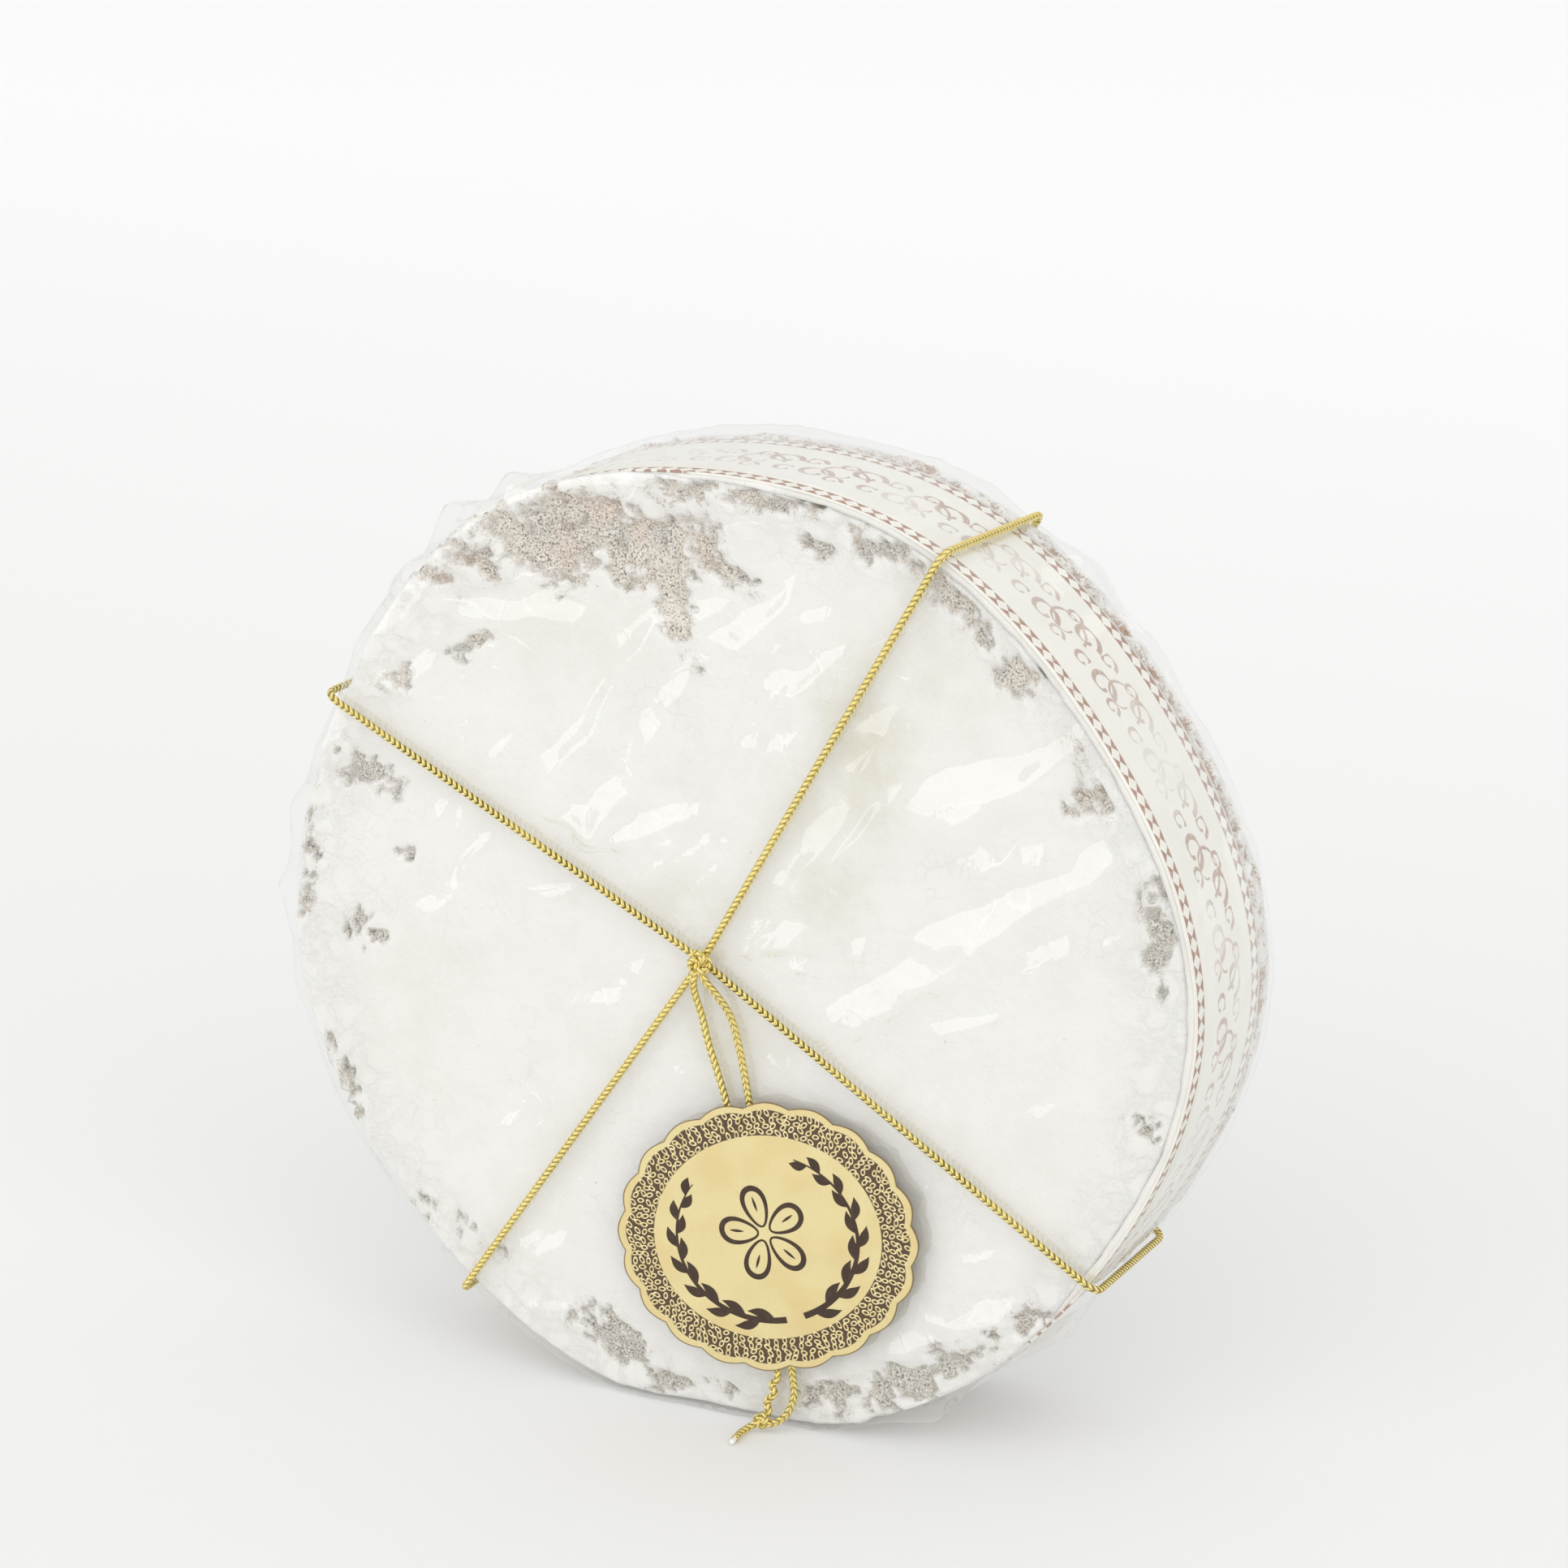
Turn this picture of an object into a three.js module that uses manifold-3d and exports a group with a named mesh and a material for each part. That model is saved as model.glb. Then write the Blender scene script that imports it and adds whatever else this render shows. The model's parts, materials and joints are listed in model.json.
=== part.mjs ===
// A wrapped panforte: a flat round cake dusted with icing sugar, with a wafer strip and a printed
// paper band round its side, folded in clear film, tied crosswise with gold cord and closed with a
// scalloped gold seal. It stands on its rim, which is pressed a little flat where it rests.
// Millimetres, +Z up. The cake's axis runs along Y and its tied front faces -Y.
import * as THREE from "three";
import { mergeVertices } from "three/addons/utils/BufferGeometryUtils.js";
import Module from "manifold-3d";

const wasm = await Module();
wasm.setup();

// ---- driving dimensions ----
const PARCEL_RADIUS = 70.4; // outside of the film, on average
const BASE_PRESS = 1.4; // how much of the round is lost to the flat that it stands on
const CENTRE_HEIGHT = PARCEL_RADIUS - BASE_PRESS;
// The hand-shaped round: waves per turn, height of the wave and the angle of its first crest.
const WAVES = [
  { count: 3, height: 0.5, crest: 0 },
  { count: 4, height: 0.6, crest: 5.5 },
  { count: 5, height: 0.4, crest: -15 },
  { count: 6, height: 0.5, crest: 4.5 },
];
const OUTLINE_POINTS = 80;

const GAP = 0.3; // left between pieces that touch
const FRONT = -15.2; // outside of the film, front face
const BACK = 14.3; // outside of the film, back face

const FILM = { thickness: 0.4, corner: 1.6, backOpening: 5 };
const BAND = { thickness: 0.3, front: -13.8, back: 9.8 };
const WAFER = { thickness: 0.6, front: -14.4, back: 9.2 };
const CAKE = { corner: 2.2, front: -13.9, back: BACK - FILM.thickness - GAP };
// How far inside the film's outside each layer lies.
const BAND_INSET = FILM.thickness + GAP;
const WAFER_INSET = BAND_INSET + BAND.thickness + GAP;

const CORD_RADIUS = 0.6;
const CORD_LIFT = GAP + CORD_RADIUS; // from the film's surface to the middle of the cord
const CORD_BEND = 2.4; // how far from a corner of its route the cord starts to turn
const TIE_STEPS = 112;
const STRAND_STEPS = 34;
// Where the four arms of the tie cross the rim: the angle at the front edge and at the back edge.
const ARMS = {
  upperLeft: [153.2, 153.2],
  lowerRight: [326.2, 323],
  upperRight: [61.1, 60],
  lowerLeft: [233.6, 233.6],
};
const BACK_CROSSING = { x: -6.6, z: -3 }; // where the two runs cross behind
const BACK_HUMP = { lift: 1.7, top: 3.5, foot: 12 }; // the upper run's rise over the lower one

const KNOT = { x: -1.9, z: 0, ring: 1.3, wrap: CORD_RADIUS, squash: 0.8 };
const KNOT_REACH = KNOT.ring + KNOT.wrap; // half the knot's width
const KNOT_Y = FRONT - GAP - KNOT_REACH * KNOT.squash;

const SEAL = {
  x: 8.5,
  z: -39.5,
  halfWidth: 24.4,
  halfHeight: 19.9,
  tilt: 22,
  thickness: 0.35,
  scallops: 20,
  scallopDepth: 0.9,
  points: 120,
};
const SEAL_BACK = FRONT - 2 * CORD_LIFT; // its back lies on the strands

const END_KNOT = { x: 8.3, y: -18, z: 1.9 - CENTRE_HEIGHT, ring: 1, wrap: CORD_RADIUS };
const STRAND_Y = FRONT - CORD_LIFT;
const CORE = { radius: 0.35, length: 1.1 };

// ---- shapes of the round ----
function rimRadius(degrees) {
  const wave = ({ count, height, crest }) =>
    height * Math.cos(count * THREE.MathUtils.degToRad(degrees - crest));
  return WAVES.reduce((radius, each) => radius + wave(each), PARCEL_RADIUS);
}

// The round's outline, set in by `inset` and pressed flat at the base.
function rimOutline(inset) {
  const floor = inset - CENTRE_HEIGHT;
  return Array.from({ length: OUTLINE_POINTS }, (_, i) => {
    const degrees = (360 * i) / OUTLINE_POINTS;
    const angle = THREE.MathUtils.degToRad(degrees);
    const radius = rimRadius(degrees) - inset;
    return new THREE.Vector2(
      radius * Math.cos(angle),
      Math.max(radius * Math.sin(angle), floor),
    );
  });
}

// An outline drawn in X and Z, as a slab between two places on Y.
function slab(shape, front, back, corner = 0) {
  const geometry = new THREE.ExtrudeGeometry(shape, {
    depth: back - front - 2 * corner,
    bevelEnabled: corner > 0,
    bevelThickness: corner,
    bevelSize: corner,
    bevelOffset: -corner,
    bevelSegments: 2,
  });
  return geometry.rotateX(Math.PI / 2).translate(0, back - corner, 0);
}

function ring(outerInset, innerInset, front, back) {
  const shape = new THREE.Shape(rimOutline(outerInset));
  shape.holes.push(new THREE.Path(rimOutline(innerInset)));
  return slab(shape, front, back);
}

// ---- joining and cutting ----
function toSolid(geometry) {
  const bare = new THREE.BufferGeometry()
    .setAttribute("position", geometry.getAttribute("position"))
    .setIndex(geometry.index);
  const merged = mergeVertices(bare, 1e-4);
  return new wasm.Manifold(
    new wasm.Mesh({
      numProp: 3,
      vertProperties: merged.attributes.position.array,
      triVerts: new Uint32Array(merged.index.array),
    }),
  );
}

function toGeometry(solid) {
  const { vertProperties, triVerts } = solid.getMesh();
  const geometry = new THREE.BufferGeometry()
    .setAttribute("position", new THREE.BufferAttribute(vertProperties, 3))
    .setIndex(new THREE.BufferAttribute(triVerts, 1));
  geometry.computeVertexNormals();
  return geometry;
}

// ---- the parcel ----
function cake() {
  const outline = rimOutline(WAFER_INSET + WAFER.thickness + GAP);
  return slab(new THREE.Shape(outline), CAKE.front, CAKE.back, CAKE.corner);
}

function waferStrip() {
  return ring(WAFER_INSET, WAFER_INSET + WAFER.thickness, WAFER.front, WAFER.back);
}

function printedBand() {
  return ring(BAND_INSET, BAND_INSET + BAND.thickness, BAND.front, BAND.back);
}

// The folds of the film meet round a small opening in the middle of the back.
function filmWrap() {
  const { thickness, corner, backOpening } = FILM;
  const outside = slab(new THREE.Shape(rimOutline(0)), FRONT, BACK, corner);
  const inside = slab(
    new THREE.Shape(rimOutline(thickness)),
    FRONT + thickness,
    BACK - thickness,
    corner - thickness,
  );
  const hole = new THREE.CylinderGeometry(backOpening, backOpening, 4 * thickness, 24);
  hole.translate(BACK_CROSSING.x, BACK, BACK_CROSSING.z);
  return toGeometry(toSolid(outside).subtract(toSolid(inside)).subtract(toSolid(hole)));
}

// ---- cord ----
// A route of straight runs with a rounded turn at each corner.
function roundedRoute(corners, bend) {
  const route = new THREE.CurvePath();
  let from = corners[0];
  for (let i = 1; i < corners.length - 1; i++) {
    const corner = corners[i];
    const before = corners[i - 1].clone().sub(corner);
    const after = corners[i + 1].clone().sub(corner);
    const cut = Math.min(bend, before.length() / 2, after.length() / 2);
    const into = corner.clone().addScaledVector(before.normalize(), cut);
    const out = corner.clone().addScaledVector(after.normalize(), cut);
    route.add(new THREE.LineCurve3(from, into));
    route.add(new THREE.QuadraticBezierCurve3(into, corner, out));
    from = out;
  }
  route.add(new THREE.LineCurve3(from, corners.at(-1)));
  return route;
}

function cordAlong(route, steps, radius = CORD_RADIUS) {
  const sides = 8;
  const section = Array.from({ length: sides }, (_, i) => {
    const angle = (2 * Math.PI * (i + 0.5)) / sides;
    return new THREE.Vector2(radius * Math.cos(angle), radius * Math.sin(angle));
  });
  return new THREE.ExtrudeGeometry(new THREE.Shape(section), { steps, extrudePath: route });
}

function onRim(degrees, y) {
  const angle = THREE.MathUtils.degToRad(degrees);
  const radius = rimRadius(degrees) + CORD_LIFT;
  return new THREE.Vector3(radius * Math.cos(angle), y, radius * Math.sin(angle));
}

// One run of the tie: from the knot over the rim, straight across the back, and over the rim to
// the knot again. `hump` lifts it over the other run where they cross.
function tieRun([startFront, startBack], [endFront, endBack], hump) {
  const front = FRONT - CORD_LIFT;
  const back = BACK + CORD_LIFT;
  const knot = new THREE.Vector3(KNOT.x, front, KNOT.z);
  const crossing = new THREE.Vector3(BACK_CROSSING.x, back, BACK_CROSSING.z);
  const besideKnot = (rim) =>
    knot.clone().addScaledVector(rim.clone().sub(knot).normalize(), KNOT_REACH + GAP);
  const start = onRim(startFront, front);
  const end = onRim(endFront, front);
  const startBehind = onRim(startBack, back);
  const endBehind = onRim(endBack, back);
  const near = (rim, distance, lift) =>
    crossing
      .clone()
      .addScaledVector(rim.clone().sub(crossing).normalize(), distance)
      .add(new THREE.Vector3(0, lift, 0));
  const over = hump
    ? [
        near(startBehind, hump.foot, 0),
        near(startBehind, hump.top, hump.lift),
        near(endBehind, hump.top, hump.lift),
        near(endBehind, hump.foot, 0),
      ]
    : [];
  const corners = [besideKnot(start), start, startBehind, ...over, endBehind, end, besideKnot(end)];
  return cordAlong(roundedRoute(corners, CORD_BEND), TIE_STEPS);
}

// Free ends of the cord, each along its own route, with places given from the cake's centre.
const LEFT_STRAND = [
  [-2.6, KNOT_Y - 0.6, -2.5],
  [-2.7, STRAND_Y - 0.8, -4.6],
  [-2, STRAND_Y, -8.2],
  [-1, STRAND_Y, -12],
  [0.7, STRAND_Y, -17],
  [2.4, STRAND_Y, -22.4],
  [5, STRAND_Y, -32],
  [7.3, STRAND_Y, -42],
  [9, STRAND_Y, -52],
  [9.9, STRAND_Y, -60.2],
  [9.4, STRAND_Y - 0.3, -63],
  [8.4, STRAND_Y - 0.8, -65.2],
];
const RIGHT_STRAND = [
  [-0.8, KNOT_Y - 0.6, -2.5],
  [0.7, STRAND_Y - 0.8, -4.4],
  [2.4, STRAND_Y, -7.4],
  [3.6, STRAND_Y, -11],
  [4.6, STRAND_Y, -15.5],
  [5.6, STRAND_Y, -20.9],
  [7.6, STRAND_Y, -31.5],
  [9.5, STRAND_Y, -42],
  [11.2, STRAND_Y, -52],
  [12.2, STRAND_Y, -60.2],
  [12.6, STRAND_Y - 0.3, -63.2],
  [11.8, STRAND_Y - 1, -65.9],
  [10.3, STRAND_Y - 1.7, -67.1],
];
const CUT_END = [
  [6.7, -19.4, 0.9 - CENTRE_HEIGHT],
  [6.3, -21, 0.7 - CENTRE_HEIGHT],
  [6.5, -23.2, 0.7 - CENTRE_HEIGHT],
];

function freeCord(points, steps) {
  const route = new THREE.CatmullRomCurve3(points.map((point) => new THREE.Vector3(...point)));
  return cordAlong(route, steps);
}

// The white yarn that shows beyond the cut end of the gold cord.
function cutCore() {
  const end = new THREE.Vector3(...CUT_END.at(-1));
  const back = end.clone().sub(new THREE.Vector3(...CUT_END.at(-2))).normalize();
  const from = end.clone().addScaledVector(back, GAP);
  const to = from.clone().addScaledVector(back, CORE.length);
  return cordAlong(new THREE.LineCurve3(from, to), 1, CORE.radius);
}

// Three wraps of cord round a small core, joined as one tight knot.
function knot(ringRadius, wrap, squash = 1) {
  const wraps = [0, 1, 2].map((i) =>
    new THREE.TorusGeometry(ringRadius, wrap, 6, 14)
      .rotateY((i * Math.PI) / 3)
      .rotateX(i * 0.5),
  );
  const core = new THREE.SphereGeometry(ringRadius, 10, 6);
  const joined = wraps.reduce((solid, each) => solid.add(toSolid(each)), toSolid(core));
  return toGeometry(joined).scale(1, squash, 1);
}

// ---- seal ----
function seal() {
  const outline = Array.from({ length: SEAL.points }, (_, i) => {
    const angle = (2 * Math.PI * i) / SEAL.points;
    const valley = 1 - Math.abs(Math.cos((SEAL.scallops * angle) / 2));
    const shrink = 1 - (SEAL.scallopDepth * valley) / SEAL.halfWidth;
    return new THREE.Vector2(
      SEAL.halfWidth * shrink * Math.cos(angle),
      SEAL.halfHeight * shrink * Math.sin(angle),
    );
  });
  return slab(new THREE.Shape(outline), 0, SEAL.thickness);
}

// ---- assembly ----
const finishes = {
  sugar: { color: 0xf0f0eb, roughness: 0.95, metalness: 0 },
  wafer: { color: 0xf2ecd9, roughness: 0.85, metalness: 0 },
  paper: { color: 0xe8e6e0, roughness: 0.7, metalness: 0 },
  film: { color: 0xf7f8f8, roughness: 0.1, metalness: 0, transparent: true, opacity: 0.25 },
  gold: { color: 0xd6be50, roughness: 0.35, metalness: 0.8 },
  foil: { color: 0xe8d48c, roughness: 0.3, metalness: 0.8 },
  yarn: { color: 0xf5f3ec, roughness: 0.9, metalness: 0 },
};

function piece(name, finish, geometry) {
  const mesh = new THREE.Mesh(geometry, new THREE.MeshStandardMaterial(finishes[finish]));
  mesh.name = name;
  return mesh;
}

function centreKnot() {
  const made = piece("centre_knot", "gold", knot(KNOT.ring, KNOT.wrap, KNOT.squash));
  made.position.set(KNOT.x, KNOT_Y, KNOT.z);
  return made;
}

function goldSeal() {
  const made = piece("gold_seal", "foil", seal());
  made.position.set(SEAL.x, SEAL_BACK - SEAL.thickness, SEAL.z);
  made.rotation.y = THREE.MathUtils.degToRad(-SEAL.tilt);
  return made;
}

function endKnot() {
  const made = piece("end_knot", "gold", knot(END_KNOT.ring, END_KNOT.wrap));
  made.position.set(END_KNOT.x, END_KNOT.y, END_KNOT.z);
  return made;
}

const parcel = new THREE.Group();
parcel.add(
  piece("cake", "sugar", cake()),
  piece("wafer_side_strip", "wafer", waferStrip()),
  piece("printed_band", "paper", printedBand()),
  piece("film_wrap", "film", filmWrap()),
  piece("tie_cord_a", "gold", tieRun(ARMS.upperLeft, ARMS.lowerRight, null)),
  piece("tie_cord_b", "gold", tieRun(ARMS.upperRight, ARMS.lowerLeft, BACK_HUMP)),
  centreKnot(),
);
const looseEnds = new THREE.Group();
looseEnds.add(
  piece("strand_left", "gold", freeCord(LEFT_STRAND, STRAND_STEPS)),
  piece("strand_right", "gold", freeCord(RIGHT_STRAND, STRAND_STEPS)),
  goldSeal(),
  endKnot(),
  piece("cut_end", "gold", freeCord(CUT_END, 3)),
  piece("cord_core", "yarn", cutCore()),
);

// The origin is the middle of the bottom of the tied parcel's box, loose ends aside.
const box = new THREE.Box3().setFromObject(parcel);
const middle = box.getCenter(new THREE.Vector3());
const panforte = new THREE.Group();
panforte.add(parcel, looseEnds);
panforte.position.set(-middle.x, -middle.y, -box.min.z);

export default panforte;
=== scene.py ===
"""A wrapped panforte standing on its rim: sugared cake, wafer edge, printed paper band, clear film,
braided gold cord and a scalloped gold seal. Places below are millimetres from the cake's centre."""

import json
import math
import random

import bmesh
import bpy
from mathutils import Matrix, Vector, noise

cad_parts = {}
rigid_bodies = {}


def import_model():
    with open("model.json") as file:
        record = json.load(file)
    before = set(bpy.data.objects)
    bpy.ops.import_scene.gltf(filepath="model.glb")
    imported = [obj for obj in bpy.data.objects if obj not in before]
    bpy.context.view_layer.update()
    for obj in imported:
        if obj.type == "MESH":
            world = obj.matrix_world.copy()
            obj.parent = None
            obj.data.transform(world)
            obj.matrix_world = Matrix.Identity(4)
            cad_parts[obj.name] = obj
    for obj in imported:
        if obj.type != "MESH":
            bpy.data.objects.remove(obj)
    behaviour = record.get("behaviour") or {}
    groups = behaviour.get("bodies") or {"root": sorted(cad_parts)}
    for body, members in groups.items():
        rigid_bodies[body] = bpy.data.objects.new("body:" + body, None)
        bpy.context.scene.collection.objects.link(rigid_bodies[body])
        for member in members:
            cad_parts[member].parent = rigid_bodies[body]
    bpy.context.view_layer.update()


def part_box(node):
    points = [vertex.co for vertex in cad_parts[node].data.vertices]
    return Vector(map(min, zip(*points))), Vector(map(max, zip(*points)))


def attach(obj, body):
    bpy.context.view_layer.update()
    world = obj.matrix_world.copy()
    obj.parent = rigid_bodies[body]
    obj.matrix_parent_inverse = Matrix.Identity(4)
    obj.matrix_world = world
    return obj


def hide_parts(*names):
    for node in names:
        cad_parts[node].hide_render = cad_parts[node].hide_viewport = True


bl_info = {
    "name": "Wrapped Panforte",
    "version": (1, 0, 0),
    "blender": (4, 5, 0),
    "location": "View3D > Sidebar > Panforte",
    "description": "Makes a panforte in clear film, tied with gold cord and closed with a gold seal",
    "category": "Add Mesh",
}

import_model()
BODY = "root"
MM = 0.001
TURN = 2 * math.pi
SAME_PLACE = 1e-4

# ---- places and sizes shared by several pieces, in millimetres ----
PARCEL_RADIUS = 70.4
CENTRE_HEIGHT = 69.0
# Waves of the hand-shaped outline: how many go round it, their height and where one crests.
WAVES = ((3, 0.5, 0.0), (4, 0.6, 5.5), (5, 0.4, -15.0), (6, 0.5, 4.5))
FILM_FRONT = -15.1
FILM_BACK = 14.3
FILM_CORNER = 1.6
CAD_FILM_FRONT = -15.2  # the plain film of the CAD model stands a little further out
STRAND_Y = -16.1
KNOT = (-1.9, -17.02, 0.0)
BACK_CROSSING = (-6.6, -3.0)
BACK_CORD_Y = 15.2
RIM_LIFT = 0.9
PATCH_REACH = 13  # a bare patch has no effect further from its middle than this
# Where each arm of the tie crosses the rim, at the front and behind, in degrees from +X to +Z.
ARMS = {
    "upper_left": (153.2, 153.2),
    "lower_right": (326.2, 323.0),
    "upper_right": (61.1, 60.0),
    "lower_left": (233.6, 233.6),
}
LEFT_STRAND = (
    (-2.2, -17.5, -1.2),
    (-2.6, -17.5, -2.6),
    (-2.7, -16.9, -4.6),
    (-2.0, STRAND_Y, -8.2),
    (-1.0, STRAND_Y, -12.0),
    (0.7, STRAND_Y, -17.0),
    (2.4, STRAND_Y, -22.4),
    (5.0, STRAND_Y, -32.0),
    (7.3, STRAND_Y, -42.0),
    (9.0, STRAND_Y, -52.0),
    (9.9, STRAND_Y, -60.2),
    (9.2, -16.5, -62.0),
    (9.6, -16.7, -63.3),
    (8.6, -16.9, -64.6),
    (9.0, -17.3, -66.0),
    (8.4, -17.8, -66.9),
)
RIGHT_STRAND = (
    (-1.5, -17.5, -1.2),
    (-0.6, -17.5, -2.6),
    (0.8, -16.9, -4.5),
    (2.4, STRAND_Y, -7.4),
    (3.6, STRAND_Y, -11.0),
    (4.6, STRAND_Y, -15.5),
    (5.6, STRAND_Y, -20.9),
    (7.6, STRAND_Y, -31.5),
    (9.5, STRAND_Y, -42.0),
    (11.2, STRAND_Y, -52.0),
    (12.2, STRAND_Y, -60.2),
    (12.6, -16.4, -63.2),
    (11.8, -17.1, -65.9),
    (10.3, -17.8, -67.2),
    (8.6, -18.3, -67.6),
)
CUT_END = ((6.7, -19.4, -68.1), (6.3, -21.0, -68.3), (6.5, -23.2, -68.3))
END_KNOT = (8.3, -18.0, -67.1)
SEAL_CENTRE = (8.5, -16.95, -39.5)
SEAL_SHARES = {"oval": 0.755, "eyelets": 0.945}
SEAL_THICKNESS = 0.14
FLOWER_RISE = 0.6
SEAL_PIECES = ("seal_foil", "seal_eyelets", "seal_ornament")
# The cord's braid: columns of stitches round it, sides of its tube and the length of a ring.
BRAID_COLUMNS = 4
BRAID_SIDES = 16
BRAID_STEP = 0.2
# Where the film's folds meet behind, and how far each laps over the next.
SEAM_ANGLES = (45, 135, 225, 315)
SEAM_LAP = math.radians(17)

# Bare patches in the sugar of the front: x, z, half length, half width, angle and strength.
BARE_PATCHES = (
    (-30.1, 58.5, 8.1, 3.9, -3, 1.00),
    (-19.9, 59.8, 8.0, 3.9, 0, 1.00),
    (-9.9, 58.9, 7.7, 3.4, 3, 1.00),
    (-7.0, 50.7, 6.6, 1.8, -73, 0.95),
    (-0.3, 57.0, 5.9, 1.8, -34, 0.95),
    (-27.5, 55.9, 5.4, 3.0, -28, 1.00),
    (-16.7, 56.2, 3.9, 1.8, -48, 1.10),
    (-23.5, 63.7, 2.5, 0.8, -7, 1.10),
    (-39.0, 53.2, 5.1, 1.4, -16, 0.70),
    (-46.8, 50.5, 4.4, 1.1, -17, 0.80),
    (-39.7, 40.8, 2.1, 0.9, 22, 0.90),
    (-52.0, 34.9, 2.3, 1.0, 27, 0.70),
    (-56.3, 20.3, 4.3, 1.8, -21, 0.85),
    (-61.4, 19.1, 2.4, 0.7, -1, 0.60),
    (-67.3, 6.5, 8.2, 0.7, -96, 0.80),
    (-57.9, -3.9, 3.0, 1.4, -8, 0.95),
    (-51.3, 9.2, 1.4, 0.5, 8, 0.60),
    (-62.6, -27.5, 7.0, 0.8, -63, 0.55),
    (-43.9, -47.9, 6.8, 1.1, -21, 0.60),
    (-22.4, -59.7, 1.5, 1.0, -2, 0.80),
    (-16.2, -61.0, 5.4, 1.8, -40, 1.00),
    (-7.4, -65.6, 4.9, 0.8, 8, 0.85),
    (1.0, -65.6, 0.9, 0.7, 11, 0.70),
    (22.5, -62.6, 9.2, 1.1, 14, 0.80),
    (30.8, -57.6, 11.0, 1.8, 32, 0.95),
    (47.7, -46.3, 1.7, 1.0, 11, 0.80),
    (65.4, 11.9, 6.6, 1.2, -81, 1.00),
    (64.8, -14.7, 2.6, 0.9, -10, 0.80),
    (44.9, 46.3, 2.6, 1.4, -6, 0.90),
    (35.8, 54.9, 4.7, 1.1, -46, 1.05),
    (25.1, 61.6, 5.5, 1.5, -16, 0.85),
    (55.6, 31.7, 3.9, 1.1, -65, 0.70),
    (53.3, 28.9, 2.9, 0.9, -6, 0.50),
    (-6.1, 66.4, 4.9, 0.9, 0, 0.80),
    (8.6, 66.2, 7.1, 0.7, -2, 0.70),
    (14.8, 60.4, 1.1, 0.6, -24, 0.60),
    (38.4, 50.9, 1.9, 0.7, -39, 0.60),
    (53.4, 37.8, 1.7, 0.7, -48, 0.50),
)
# Where the cake's fat has soaked into the sugar: x, z, half width, half height and strength.
GREASE = (
    (22, 33, 7, 13, 0.75),
    (16, 17, 8, 13, 0.45),
    (2, -12, 8, 8, 0.35),
    (-6, 8, 7, 5, 0.35),
    (-24, 44, 14, 7, 0.25),
    (30, 44, 12, 8, 0.30),
    (-50, -14, 8, 16, 0.20),
)
# Folds in the film over the front: x and z of both ends, half width and height.
FRONT_FOLDS = (
    (17, -12, 60, 23, 3.6, 1.9),
    (22, -16, 50, 2, 2.2, 0.5),
    (33, 22, 54, 34, 4.4, 2.1),
    (36, 18, 52, 22, 2.4, 0.8),
    (-29, 16, -9, 46, 2.8, 1.5),
    (-20, 12, -4, 40, 2.2, 1.1),
    (-12, 42, 2, 50, 2.6, 1.3),
    (5, 2, 22, 5, 2.6, 1.3),
    (-6, -17, 12, -14, 2.2, 1.0),
    (-38, -50, -9, -11, 1.8, 0.9),
    (-44, -44, -15, -8, 2.6, 0.6),
    (8, 6, 27, 37, 2.2, 0.9),
    (12, 4, 32, 34, 2.6, 0.7),
    (-38, 44, -18, 47, 2.2, 1.0),
    (2, 40, 12, 54, 3.2, 1.6),
    (-4, 46, 14, 44, 2.4, 1.0),
    (-20, 15, -3, 20, 2.6, 1.2),
    (12, 38, 27, 46, 2.6, 1.4),
    (10, 30, 24, 36, 2.2, 0.9),
    (-50, -4, -36, 12, 2.4, 1.0),
    (-54, 2, -42, 20, 2.2, 0.6),
    (-52, 42, -38, 57, 2.2, 1.1),
    (-60, 24, -46, 38, 2.2, 0.8),
    (-36, -54, -24, -48, 2.8, 1.4),
    (-40, -58, -20, -58, 2.2, 0.9),
    (28, -56, 44, -46, 3.0, 1.6),
    (34, -48, 50, -44, 2.4, 1.0),
    (46, 30, 60, 44, 2.4, 0.9),
    (46, 4, 62, 12, 2.6, 0.8),
    (38, -26, 60, -8, 2.6, 0.6),
)
# Where the film stands away from the rim: angle, place along the axis, height and half width.
RIM_BULGES = (
    (126, -12, 3.4, 5),
    (117, -13, 2.6, 4),
    (137, -8, 2.4, 6),
    (146, -13, 1.2, 6),
    (170, -13, 2.4, 6),
    (180, -13, 2.8, 6),
    (191, -12, 1.6, 6),
    (205, -10, 1.2, 8),
    (84, 4, 0.8, 10),
    (66, 8, 1.6, 6),
    (52, 9, 2.8, 6),
    (44, 4, 3.2, 5),
    (38, 8, 1.8, 6),
    (-44, -8, 2.0, 6),
    (-63, -13, 2.6, 6),
)


# ---- sizes and colours that can be changed ----
def a_length(name, description, default):
    return bpy.props.FloatProperty(
        name=name, description=description, default=default, unit="LENGTH"
    )


def an_angle(name, description, degrees):
    return bpy.props.FloatProperty(
        name=name, description=description, default=math.radians(degrees), subtype="ANGLE"
    )


def a_colour(name, description, default):
    return bpy.props.FloatVectorProperty(
        name=name, description=description, default=(*default, 1), subtype="COLOR", size=4
    )


class CakeSizes(bpy.types.PropertyGroup):
    """Sizes and colours of the sugared cake."""

    radius: a_length("Radius", "From the cake's centre to its rim", 68.2 * MM)
    front: a_length("Front", "Where the sugared front face lies along the cake's axis", -13.9 * MM)
    back: a_length("Back", "Where the back face lies along the cake's axis", 13.6 * MM)
    relief: a_length("Sugar thickness", "How far the sugar stands above a bare patch", 0.75 * MM)
    sugar: a_colour("Sugar", "Colour of the icing sugar", (0.775, 0.768, 0.74))
    crumb: a_colour("Crumb", "Colour of the cake where the sugar has come off", (0.66, 0.60, 0.52))
    wafer: a_colour("Wafer", "Colour of the wafer paper round the side", (0.75, 0.735, 0.69))


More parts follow.
